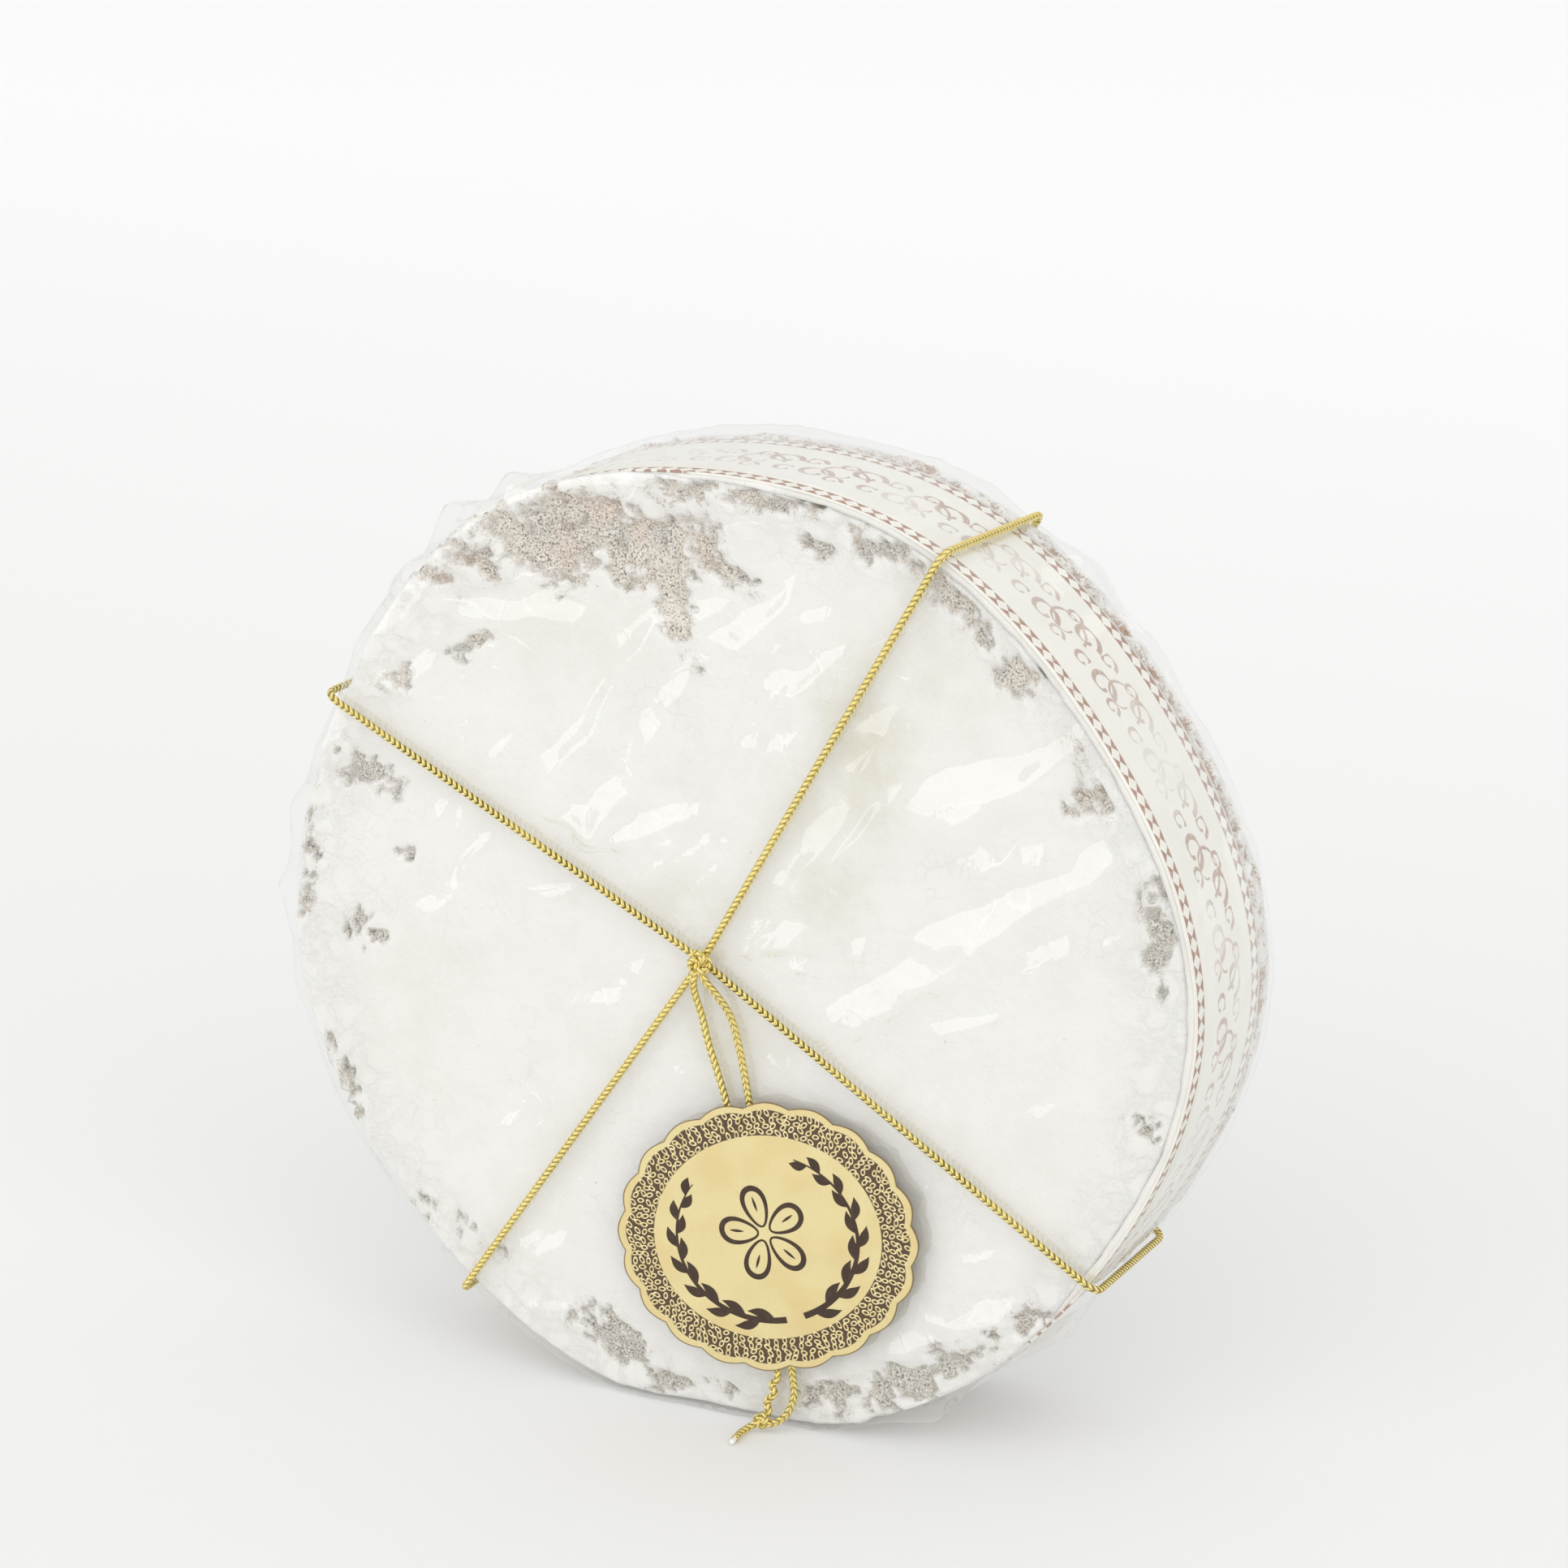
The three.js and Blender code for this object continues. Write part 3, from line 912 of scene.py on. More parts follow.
def band_finish(sizes):
    f = Finish("printed paper")
    place = f.place()
    uv = f.level("UVMap", {"uv_map": "print"})
    around, across, _ = f.parts(uv)
    width = (sizes.back - sizes.front) / MM
    half = sizes.border / MM / 2
    margin = 0.55 + half
    depth = across * width
    fade = f.grain(place, 5 * MM, 4, 0.6)
    speck = f.grain(place, 0.6 * MM, 3, 0.6)
    # Rows of diamonds along both edges: side + row is under 1 inside a diamond, which stays bare.
    side = f.maths("PINGPONG", around * float(sizes.diamonds), 0.5) * 2.0
    near_front = abs((depth - margin) / half)
    near_back = abs((depth - (width - margin)) / half)
    row = f.maths("MINIMUM", near_front, near_back)
    borders = f.ramp(side + row, 0.96, 1.10) * f.ramp(row, 1.04, 0.98)
    # Faint scrolls along the middle: in each cell, small open curls round a large one.
    cells = 34.0
    cell = TURN * PARCEL_RADIUS / cells
    across_cell = (f.maths("FRACT", around * cells) - 0.5) * cell
    from_middle = depth - width * 0.5

    def curl(x, y, radius, thick):
        dx = across_cell - x
        dy = from_middle - y
        far = (dx * dx + dy * dy) ** 0.5
        swirl = f.maths("ARCTAN2", dy, dx)
        ring = abs(far - (swirl * (radius * 0.16) + radius))
        swell = f.ramp(abs(dx), 0.2, radius, 0.35, 1.0) * thick
        return f.ramp(ring / swell, 1.0, 0.6)

    marks = curl(-3.2, 2.2, 1.8, 0.62)
    for x, y, radius, thick in (
        (3.2, -2.2, 1.8, 0.62),
        (0.2, 3.4, 1.0, 0.42),
        (-0.2, -3.6, 1.0, 0.42),
        (0.0, 0.0, 2.7, 0.34),
        (-5.4, -2.8, 1.2, 0.50),
        (5.4, 3.0, 1.2, 0.50),
    ):
        marks = f.maths("MAXIMUM", marks, curl(x, y, radius, thick))
    faded = f.ramp(f.grain(place, 16 * MM, 2, 0.5), 0.36, 0.60, 0.14, 0.72)
    ink = borders * 0.9 + marks * faded
    worn = f.ramp(speck, 0.30, 0.46, 0.55, 1.0)
    paper = f.mix(f.ramp(fade, 0.4, 0.7) * 0.5, sizes.paper, (0.73, 0.71, 0.64, 1))
    colour = f.mix(ink * worn, paper, sizes.ink)
    look = {
        "Base Color": colour,
        "Roughness": f.ramp(speck, 0.3, 0.7, 0.55, 0.75),
        "Specular IOR Level": 0.3,
        "Normal": f.bump(speck, 0.1 * MM, 0.3),
    }
    return f.done(f.principled(look))


# ---- film ----
def rim_point(degrees, radius_lift=RIM_LIFT):
    """The x and z of a place on the rim, lifted off it by a cord's radius and the film."""
    angle = math.radians(degrees)
    radius = outline(angle, 0) + radius_lift
    return radius * math.cos(angle), radius * math.sin(angle)


def pressed_lines():
    """Where cord lies on the film: lines on the front and on the back, as x and z of their ends."""
    front = [(KNOT[0], KNOT[2], *rim_point(arm[0], 0)) for arm in ARMS.values()]
    for strand in (LEFT_STRAND, RIGHT_STRAND):
        front += [(a[0], a[2], b[0], b[2]) for a, b in zip(strand[2:9:2], strand[4:10:2])]
    back = [(*BACK_CROSSING, *rim_point(arm[1], 0)) for arm in ARMS.values()]
    return front, back


def make_film(sizes):
    radius = PARCEL_RADIUS
    rings = (92, 5, 30, 4, 60)
    bm = turned(round_profile(radius, FILM_FRONT, FILM_BACK, FILM_CORNER, rings, opening=2.4), 448)
    if sum(face.normal.y for face in bm.faces if face.calc_center_median().y < FILM_FRONT + 0.1) > 0:
        bmesh.ops.reverse_faces(bm, faces=bm.faces)
    for vert in bm.verts:
        rounded_out(vert, radius, 0)
    bm.normal_update()
    seams = [
        edge
        for edge in bm.edges
        if all(vert.co.y > FILM_BACK - 0.01 for vert in edge.verts) and on_seam(edge)
    ]
    bmesh.ops.split_edges(bm, edges=seams)
    front_lines, back_lines = pressed_lines()
    folds = wrinkles()
    crumple = sizes.crumple / MM
    places = [film_place(vert, crumple, front_lines, back_lines, folds) for vert in bm.verts]
    for vert, place in zip(bm.verts, places):
        vert.co = place
    return link("clear_film", bm, film_finish(sizes))


def on_seam(edge):
    angles = [math.degrees(math.atan2(vert.co.z, vert.co.x)) % 360 for vert in edge.verts]
    return any(all(abs(angle - seam) < 0.2 for angle in angles) for seam in SEAM_ANGLES)


def wrinkles():
    """The long folds, and many small ones beside the cords and towards the rim."""
    random.seed(5)
    folds = list(FRONT_FOLDS)
    for arm in ARMS.values():
        end_x, end_z = rim_point(arm[0], 0)
        for _ in range(13):
            along = random.uniform(0.06, 0.95)
            beside = random.choice((-1, 1)) * random.uniform(3, 9)
            angle = math.atan2(end_z, end_x)
            x = KNOT[0] + (end_x - KNOT[0]) * along - beside * math.sin(angle)
            z = end_z * along + beside * math.cos(angle)
            turn = math.radians(random.uniform(-25, 80))
            reach = random.uniform(2.5, 7)
            dx = reach * math.cos(turn)
            dz = reach * math.sin(turn)
            folds.append((x - dx, z - dz, x + dx, z + dz, 1.5, random.uniform(0.3, 0.8)))
    return folds


def fold_lift(x, z, folds):
    """How far the folds lift the film here: each rises slowly on its upper left side."""
    wx = x + 2.2 * rough(x, 0, z, 13, 62) + 0.9 * rough(x, 0, z, 5, 63)
    wz = z + 2.2 * rough(x, 0, z, 13, 64) + 0.9 * rough(x, 0, z, 5, 65)
    lift = 0.0
    for x0, z0, x1, z1, half, high in folds:
        dx = wx - (x0 + x1) / 2
        dz = wz - (z0 + z1) / 2
        reach = abs(x1 - x0) / 2 + abs(z1 - z0) / 2 + 2 * half
        if abs(dx) > reach or abs(dz) > reach:
            continue
        gap, along = segment_distance(wx, wz, x0, z0, x1, z1)
        wide = half * (1.25 - 0.55 * along)
        slope = gap / (wide * (1.5 if gap > 0 else 0.5))
        tent = max(0.0, 1 - abs(slope))
        lift += high * tent * math.sin(math.pi * clamp(0.12 + 0.76 * along)) ** 0.5
    return lift


def pressed(x, z, lines):
    """0 where a cord presses the film down, rising to 1 some way from every cord."""
    gaps = [abs(segment_distance(x, z, *line)[0]) for line in lines]
    return ease(0.7, 7, min(gaps))


def side_lift(x, y, z, facets, small):
    """How far the film stands off the side: crumpled, bulging, tight at the right and flat below."""
    angle = math.atan2(z, x)
    degrees = math.degrees(angle) % 360
    share = clamp((y - FILM_FRONT) / (FILM_BACK - FILM_FRONT))
    gaps = [apart(degrees, start + (end - start) * share) for start, end in ARMS.values()]
    press = ease(0.7, 9, min(gaps) * math.radians(1) * PARCEL_RADIUS)
    long_folds = creased(angle * PARCEL_RADIUS / 3, y / 3.4, 0, 3.0, 8.1)
    lift = 0.16 * facets + 0.12 * small + 0.24 * long_folds
    tight = ease(42, 30, apart(degrees, 0)) * ease(2, 9, y)
    lift = lift * (1 - 0.5 * tight) - 0.40 * tight
    for at, axial, height, half in RIM_BULGES:
        off = apart(degrees, at) / half
        if off < 1:
            lift += height * (1 - off) * max(0.0, 1 - abs(y - axial) / 9)
    base = ease(-math.cos(math.radians(26)), -math.cos(math.radians(8)), math.sin(angle))
    return lift * (0.1 + 0.9 * press) * (1 - 0.95 * base)


def film_place(vert, crumple, front_lines, back_lines, folds):
    """Where a point of the smooth film goes: lifted by folds, and held down by the cords."""
    x, y, z = vert.co
    away = math.hypot(x, z)
    front_share = ease(FILM_FRONT + 2.4, FILM_FRONT + 0.2, y)
    back_share = ease(FILM_BACK - 2.4, FILM_BACK - 0.2, y)
    side_share = clamp(1 - front_share - back_share)
    facets = creased(x, 0.8 * y, z, 15, 2.2)
    small = creased(x, y, z, 5.5, 6.4)
    lift = 0.0
    if front_share > 0:
        beneath = math.hypot((x - SEAL_CENTRE[0]) / 24, (z - SEAL_CENTRE[2]) / 20)
        press = min(pressed(x, z, front_lines), ease(0.85, 1.2, beneath))
        here = crumple * (0.42 * facets + 0.05 * small) + 0.45 * rough(x, 0, z, 22, 61)
        here += fold_lift(x, z, folds)
        lift += front_share * clamp(here, -0.2, 2.6) * (0.06 + 0.94 * press)
    if side_share > 0 or (back_share > 0 and away > 66):
        edge = clamp(1 - front_share - 0.4 * back_share)
        lift += edge * side_lift(x, y, z, facets, small)
    if back_share > 0:
        press = pressed(x, z, back_lines)
        here = crumple * (0.8 * facets + 0.3 * small) + 0.3 * rough(x, 9, z, 18, 66)
        lift += back_share * clamp(here, -0.2, 1.6) * (0.15 + 0.85 * press)
    place = vert.co + vert.normal * lift
    if back_share > 0.5:
        place = lapped(vert, place, away)
    place.z = max(place.z, 0.04 - CENTRE_HEIGHT)
    return place


def lapped(vert, place, away):
    """Folds the back: each quarter's leading edge lies over the next, towards the crossing."""
    middle = sum((face.calc_center_median() for face in vert.link_faces), Vector())
    quarter = ((math.degrees(math.atan2(middle.z, middle.x)) - SEAM_ANGLES[0]) % 360) // 90
    start = math.radians(SEAM_ANGLES[0] + 90 * quarter)
    # A point on the quarter's own seam counts as its start, not as a whole turn further.
    slack = math.radians(0.5)
    angle = (math.atan2(vert.co.z, vert.co.x) - start + slack) % TURN - slack
    leading = ease(math.radians(45), math.radians(90), angle)
    inner = ease(PARCEL_RADIUS - 1, PARCEL_RADIUS - 22, away)
    x, z = rotated(place.x, place.z, leading * SEAM_LAP * inner)
    pull = 1 - ease(0, PARCEL_RADIUS, away)
    lift = (0.55 * leading + 0.075 * quarter) * inner
    return Vector((x + BACK_CROSSING[0] * pull, place.y + lift, z + BACK_CROSSING[1] * pull))


def film_finish(sizes):
    f = Finish("clear film")
    place = f.place()
    wrinkle = f.grain(place, 4 * MM, 2, 0.5, 0.6)
    scratch = f.grain(place, 1.3 * MM, 2, 0.5)
    facets = f.net(f.bent(place, 6 * MM), 8 * MM)
    creases = f.ramp(facets, 0.05, 0.0) * f.ramp(f.grain(place, 20 * MM, 2, 0.5), 0.45, 0.62)
    height = wrinkle * 0.8 + scratch * 0.2 + creases * 0.5
    normal = f.bump(height, 0.5 * MM, 0.14)
    # The gloss is alike from inside and outside: light is reflected at both faces of the film.
    slant = f.level("LayerWeight", None, {"Blend": 0.5, "Normal": normal}, output="Facing")
    gloss = slant**5.0 * 0.96 + 0.04
    both_sides = gloss * 2.0 / (gloss + 1.0)
    share = both_sides + creases * 0.05 + sizes.haze
    share = f.maths("MINIMUM", share, 0.5)
    clear = f.level("BsdfTransparent")
    shine = f.principled(
        {
            "Base Color": (1.0, 1.0, 0.99, 1),
            "Metallic": 1.0,
            "Roughness": sizes.roughness,
            "Normal": normal,
        }
    )
    shader = f.level("MixShader", None, {0: share, 1: clear, 2: shine})
    return f.done(shader)


# ---- braided cord ----
def smooth_route(points, step):
    """A Catmull-Rom curve through the points, sampled about every `step` mm."""
    knots = [Vector(point) for point in points]
    knots = [2 * knots[0] - knots[1]] + knots + [2 * knots[-1] - knots[-2]]
    route = []
    for a, b, c, d in zip(knots, knots[1:], knots[2:], knots[3:]):
        count = max(2, round((c - b).length / step))
        for i in range(count):
            t = i / count
            route.append(
                0.5
                * (
                    2 * b
                    + (c - a) * t
                    + (2 * a - 5 * b + 4 * c - d) * t * t
                    + (3 * b - a - 3 * c + d) * t * t * t
                )
            )
    route.append(knots[-2])
    return route


def rounded_route(corners, bend, step):
    """Straight runs with a rounded turn at each corner, sampled about every `step` mm."""
    points = [Vector(corner) for corner in corners]
    route = []
    start = points[0]
    for before, corner, after in zip(points, points[1:], points[2:]):
        cut = min(bend, (before - corner).length / 2, (after - corner).length / 2)
        into = corner + (before - corner).normalized() * cut
        out = corner + (after - corner).normalized() * cut
        route += straight(start, into, step)
        count = max(4, round(1.6 * cut / step))
        for i in range(count):
            t = i / count
            route.append(into * (1 - t) ** 2 + corner * 2 * t * (1 - t) + out * t * t)
        start = out
    route += straight(start, points[-1], step)
    route.append(points[-1])
    return route


def straight(start, end, step):
    """Points from start to end, end left out."""
    count = max(1, round((end - start).length / step))
    return [start.lerp(end, i / count) for i in range(count)]


def frames_along(route):
    """A sideways and an upward direction at each point, turning as little as possible."""
    frames = []
    side = Vector((0.31, 0.22, 0.93))
    for i in range(len(route)):
        ahead = route[min(i + 1, len(route) - 1)] - route[max(i - 1, 0)]
        ahead.normalize()
        side = (side - ahead * side.dot(ahead)).normalized()
        frames.append((side, ahead.cross(side)))
    return frames


def braid_height(around, along):
    """The braid's relief, 0 in a gap and 1 on a stitch, `around` in turns, `along` in stitches."""
    column = around * BRAID_COLUMNS
    slant = abs((column + 1) % 2 - 1)
    stitch = math.sin(math.pi * (along + 0.8 * slant)) ** 2
    groove = 1 - 0.35 * (1 - abs(math.sin(math.pi * column))) ** 4
    return stitch**0.5 * groove


def tube(route, radius, sides, stitch):
    """A braided tube, rolled up from a grid along a route, and the route's length."""
    rings = len(route) - 1
    frames = frames_along(route)
    bm = bmesh.new()
    weave = bm.loops.layers.uv.new("weave")
    bmesh.ops.create_grid(bm, x_segments=sides, y_segments=rings, size=0.5, calc_uvs=True)
    travelled = [0.0]
    for a, b in zip(route, route[1:]):
        travelled.append(travelled[-1] + (b - a).length)
    for face in bm.faces:
        for loop in face.loops:
            u, v = loop[weave].uv
            loop[weave].uv = (u, travelled[round(v * rings)] / stitch)
    for vert in bm.verts:
        around = vert.co.x + 0.5
        ring = round((vert.co.y + 0.5) * rings)
        side, up = frames[ring]
        reach = radius * (0.80 + 0.13 * braid_height(around % 1.0, travelled[ring] / stitch))
        angle = TURN * around
        vert.co = route[ring] + (side * math.cos(angle) + up * math.sin(angle)) * reach
    bmesh.ops.remove_doubles(bm, verts=bm.verts, dist=SAME_PLACE)
    rims = [edge for edge in bm.edges if edge.is_boundary]
    bmesh.ops.holes_fill(bm, edges=rims, sides=0)
    bmesh.ops.recalc_face_normals(bm, faces=bm.faces)
    return bm, travelled[-1]


def braid(name, route, sizes, material):
    radius = sizes.diameter / MM / 2
    bm, length = tube(route, radius, BRAID_SIDES, sizes.stitch / MM)
    return link(name, bm, material), length


def cord_finish(sizes, name, shade):
    """Gold braid with painted shade between its stitches; shade, from 0 to 1, says how wide and dark
    that painted shade is.
    """
    f = Finish(name)
    uv = f.level("UVMap", {"uv_map": "weave"})
    around, along, _ = f.parts(uv)
    place = f.place()
    column = around * float(BRAID_COLUMNS)
    slant = f.maths("PINGPONG", column, 1.0)
    stitch = abs(f.maths("SINE", (along + slant * 0.8) * math.pi))
    edge = abs(f.maths("SINE", column * math.pi))
    # Painted shade: the recesses between stitches and the grooves between columns are painted near
    # black, darker where the broad noise is high.
    dark_side = f.ramp(f.grain(place, 14 * MM, 1, 0.5), 0.42, 0.60)
    gap = f.ramp(stitch, 0.55 + 0.2 * shade, 0.15 + 0.3 * shade)
    gap = gap * (dark_side * 0.2 + 0.4 + 0.4 * shade)
    gap = f.maths("MAXIMUM", gap, f.ramp(edge, 0.30, 0.05) * 0.75)
    glint = f.grain(place, 0.5 * MM, 2, 0.6)
    # Painted glints: paler gold where the fine noise is high; the same noise also sets the roughness.
    metal = f.mix(f.ramp(glint, 0.45, 0.7) * 0.5, sizes.gold, (1.0, 0.92, 0.58, 1))
    colour = f.mix(gap * 0.9, metal, sizes.gap)
    look = {
        "Base Color": colour,
        "Metallic": 0.9,
        "Roughness": f.ramp(glint, 0.3, 0.7, 0.22, 0.36),
        "Normal": f.bump(stitch, 0.16 * MM, 1.0),
    }
    return f.done(f.principled(look))


def yarn_finish(sizes):
    f = Finish("white core yarn")
    place = f.place()
    fibre = f.grain(place, 0.15 * MM, 3, 0.6)
    colour = f.mix(f.ramp(fibre, 0.4, 0.65) * 0.5, sizes.core, (0.66, 0.64, 0.58, 1))
    look = {
        "Base Color": colour,
        "Roughness": 0.9,
        "Normal": f.bump(fibre, 0.1 * MM, 0.6),
    }
    return f.done(f.principled(look))


def tie_route(start_arm, end_arm, hump):
    """From the knot over the rim, across the back and over the rim to the knot again."""

    def on_rim(degrees, y):
        x, z = rim_point(degrees)
        return Vector((x, y, z))

    knot = Vector((KNOT[0], STRAND_Y, KNOT[2]))
    crossing = Vector((BACK_CROSSING[0], BACK_CORD_Y, BACK_CROSSING[1]))
    start = on_rim(ARMS[start_arm][0], STRAND_Y)
    end = on_rim(ARMS[end_arm][0], STRAND_Y)
    start_back = on_rim(ARMS[start_arm][1], BACK_CORD_Y)
    end_back = on_rim(ARMS[end_arm][1], BACK_CORD_Y)

    def near(rim, distance, lift):
        return crossing + (rim - crossing).normalized() * distance + Vector((0, lift, 0))

    over = []
    if hump:
        over = [
            near(start_back, 12, 0),
            near(start_back, 3.5, 1.7),
            near(end_back, 3.5, 1.7),
            near(end_back, 12, 0),
        ]
    first = knot + (start - knot).normalized() * 0.9
    last = knot + (end - knot).normalized() * 0.9
    corners = [first, start, start_back, *over, end_back, end, last]
    return rounded_route(corners, 2.4, BRAID_STEP)


def knot_route(middle, ring, wrap, squash, turn):
    """A tight knot: the cord winds round its own ring."""
    route = []
    count = round(TURN * 2 * (ring + wrap) / (1.2 * BRAID_STEP))
    for i in range(count + 1):
        t = TURN * i / count
        away = ring + wrap * math.cos(3 * t)
        place = Vector((away * math.cos(2 * t), wrap * 1.15 * math.sin(3 * t) * squash, 0))
        place.z = away * math.sin(2 * t)
        place = Matrix.Rotation(turn, 3, "Y") @ place
        route.append(Vector(middle) + place)
    return route


# ---- seal ----
def seal_point(share, angle, sizes):
    """A point of the seal's face in its own plane, share 1 being its scalloped edge."""
    valley = 1 - abs(math.cos(sizes.scallops * angle / 2))
    near_edge = ease(0.80, 1.0, share)
    shrink = 1 - near_edge * 0.9 * valley / (sizes.half_width / MM)
    return (
        share * shrink * sizes.half_width / MM * math.cos(angle),
        share * shrink * sizes.half_height / MM * math.sin(angle),
    )


def seal_bend(u, v, lift):
    """From the seal's own plane, bent as it hangs, to the place from the cake's centre."""
    tilt = bpy.context.scene.panforte_seal.tilt
    x, z = rotated(u, v, tilt)
    sag = 0.22 * rough(u, 0, v, 19, 71) + 0.08 * rough(u, 0, v, 7, 72)
    curl = 0.4 * ease(12, 25, u) ** 2 + 0.15 * ease(-14, -25, u)
    y = SEAL_CENTRE[1] - sag - curl - lift
    return Vector((SEAL_CENTRE[0] + x, y, SEAL_CENTRE[2] + z))


def make_seal(sizes):
    steps = 400
    oval = SEAL_SHARES["oval"]
    outer = SEAL_SHARES["eyelets"]
    shares = [0.0]
    shares += [oval * i / 18 for i in range(1, 18)]
    shares += [oval - 0.012, oval, oval + 0.012, 0.82, 0.86, 0.90]
    shares += [outer - 0.008, outer, outer + 0.008, 0.965, 0.985, 1.0]
    bm = turned([(share, 0) for share in shares], steps)
    if next(iter(bm.faces)).normal.y > 0:
        bmesh.ops.reverse_faces(bm, faces=bm.faces)
    zone = bm.verts.layers.float.new("share")
    for vert in bm.verts:
        share = math.hypot(vert.co.x, vert.co.z)
        angle = math.atan2(vert.co.z, vert.co.x)
        vert[zone] = share
        u, v = seal_point(share, angle, sizes)
        sunk = ease(oval - 0.006, oval + 0.008, share) * (1 - ease(outer - 0.006, outer + 0.006, share))
        vert.co = seal_bend(u, v, -0.03 * sunk)
    bm.normal_update()
    bmesh.ops.solidify(bm, geom=bm.faces[:], thickness=SEAL_THICKNESS)
    for edge in bm.edges:
        edge.smooth = edge.calc_face_angle(0.0) < math.radians(50)
    return link("seal_foil", bm, foil_finish(sizes))


def make_eyelets(sizes):
    """Rows of small raised ovals between the plain middle and the edge."""
    random.seed(7)
    ridge = [(0.37 + 0.12 * math.cos(a), 0.12 * math.sin(a)) for a in (0, TURN / 4, TURN / 2)]
    ring = spun(ridge, 10, (0, 1, 0))
    mould = bpy.data.meshes.new("eyelet mould")
    ring.to_mesh(mould)
    ring.free()
    bm = bmesh.new()
    oval = SEAL_SHARES["oval"]
    outer = SEAL_SHARES["eyelets"]
    rows = 4
    for row in range(rows):
        share = oval + (outer - oval) * (row + 0.5) / rows
        count = round(96 * share / 0.86)
        for i in range(count):
            angle = TURN * (i + 0.5 * (row % 2) + 0.25 * (random.random() - 0.5)) / count
            wobble = share + 0.016 * (random.random() - 0.5)
            u, v = seal_point(wobble, angle, sizes)
            turn = angle + 2.6 * (random.random() - 0.5)
            long = 1.15 + 0.25 * random.random()
            first = len(bm.verts)
            bm.from_mesh(mould)
            bm.verts.ensure_lookup_table()
            for vert in bm.verts[first:]:
                du, dv = rotated(vert.co.x * long, vert.co.z * 0.80, turn)
                vert.co = seal_bend(u + du, v + dv, vert.co.y - 0.03)
    bpy.data.meshes.remove(mould)
    bmesh.ops.recalc_face_normals(bm, faces=bm.faces)
    for face in bm.faces:
        if face.normal.y > 0.2:
            face.normal_flip()
    return link("seal_eyelets", bm, eyelet_finish(sizes))


def stroke(bm, points, widths):
    """A thin raised line of ink along points of the seal's plane, as wide as widths say."""
    route = [Vector((u, 0, v)) for u, v in points]
    count = len(route)
    grid = bmesh.ops.create_grid(bm, x_segments=2, y_segments=count - 1, size=0.5)["verts"]
    for vert in grid:
        across = vert.co.x * 2
        i = round((vert.co.y + 0.5) * (count - 1))
        ahead = (route[min(i + 1, count - 1)] - route[max(i - 1, 0)]).normalized()
        reach = across * widths(i / (count - 1)) / 2
        u = route[i].x - ahead.z * reach
        v = route[i].z + ahead.x * reach
        vert.co = seal_bend(u, v, 0.035 + 0.03 * (1 - abs(across)))


def make_ornament(sizes):
    """A generic almond flower in dark ink, between two leafy branches."""
    bm = bmesh.new()
    petals = 5
    for petal in range(petals):
        turn = TURN * petal / petals + TURN / 4
        loop = []
        for i in range(33):
            t = TURN * i / 32
            along = 4.0 - 2.9 * math.cos(t)
            beside = 2.2 * math.sin(t) * (0.55 + 0.45 * (1 - math.cos(t)) / 2)
            loop.append(rotated(along, beside, turn))
        vein = [rotated(3.4 + 2.2 * i / 8, 0, turn) for i in range(9)]
        for points, widths in (
            (loop, lambda t: 0.30 + 0.55 * math.sin(math.pi * t) ** 2),
            (vein, lambda t: 0.06 + 0.34 * math.sin(math.pi * t)),
        ):
            stroke(bm, [(u, v + FLOWER_RISE) for u, v in points], widths)
    across = 0.60 * sizes.half_width / MM
    upward = 0.62 * sizes.half_height / MM
    for side in (-1, 1):

        def branch(t, side=side):
            angle = math.radians(-84 + 138 * t)
            return Vector((side * across * math.cos(angle), upward * math.sin(angle)))

        stroke(bm, [branch(i / 60) for i in range(61)], lambda t: 0.95 - 0.80 * t)
        for leaf in range(14):
            t = 0.05 + 0.068 * leaf
            base = branch(t)
            ahead = (branch(t + 0.01) - base).normalized()
            lean = math.radians(38 if leaf % 2 else -38)
            length = 4.6 - 1.9 * t
            points = []
            for i in range(11):
                way = Vector(rotated(ahead.x, ahead.y, lean * (1 - 0.5 * i / 10)))
                points.append(base + way * length * i / 10)
            stroke(bm, points, lambda t: 0.06 + 1.35 * math.sin(math.pi * t) ** 1.2)
    for face in bm.faces:
        face.normal_update()
        if face.normal.y > 0:
            face.normal_flip()
    return link("seal_ornament", bm, ink_finish(sizes))


def foil_finish(sizes):
    f = Finish("gold foil")
    place = f.place()
    share = f.attribute("share")
    oval = SEAL_SHARES["oval"]
    outer = SEAL_SHARES["eyelets"]
    ground = f.ramp(share, oval - 0.004, oval + 0.004) * f.ramp(share, outer + 0.004, outer - 0.004)
    cut = f.ramp(share, 0.988, 0.996)
    satin = f.grain(place, 9 * MM, 2, 0.5)
    fine = f.grain(place, 0.35 * MM, 3, 0.6)
    metal = f.mix(f.ramp(satin, 0.35, 0.7), sizes.foil, (0.87, 0.71, 0.36, 1))
    metal = f.mix(f.ramp(fine, 0.5, 0.75) * 0.2, metal, (0.70, 0.52, 0.20, 1))
    colour = f.mix(ground, metal, sizes.ground)
    colour = f.mix(cut * 0.85, colour, (0.16, 0.10, 0.05, 1))
    look = {
        "Base Color": colour,
        "Metallic": (1 - ground) * 0.92,
        "Roughness": f.ramp(fine, 0.3, 0.7, 0.30, 0.40),
        "Normal": f.bump(satin + fine * 0.02, 1.2 * MM, 0.4),
    }
    return f.done(f.principled(look))


def eyelet_finish(sizes):
    f = Finish("embossed gold")
    place = f.place()
    worn = f.grain(place, 0.8 * MM, 3, 0.6)
    colour = f.mix(f.ramp(worn, 0.45, 0.7) * 0.7, (0.93, 0.80, 0.46, 1), (0.70, 0.53, 0.22, 1))
    look = {
        "Base Color": colour,
        "Metallic": 0.85,
        "Roughness": f.ramp(worn, 0.3, 0.7, 0.28, 0.45),
    }
    return f.done(f.principled(look))


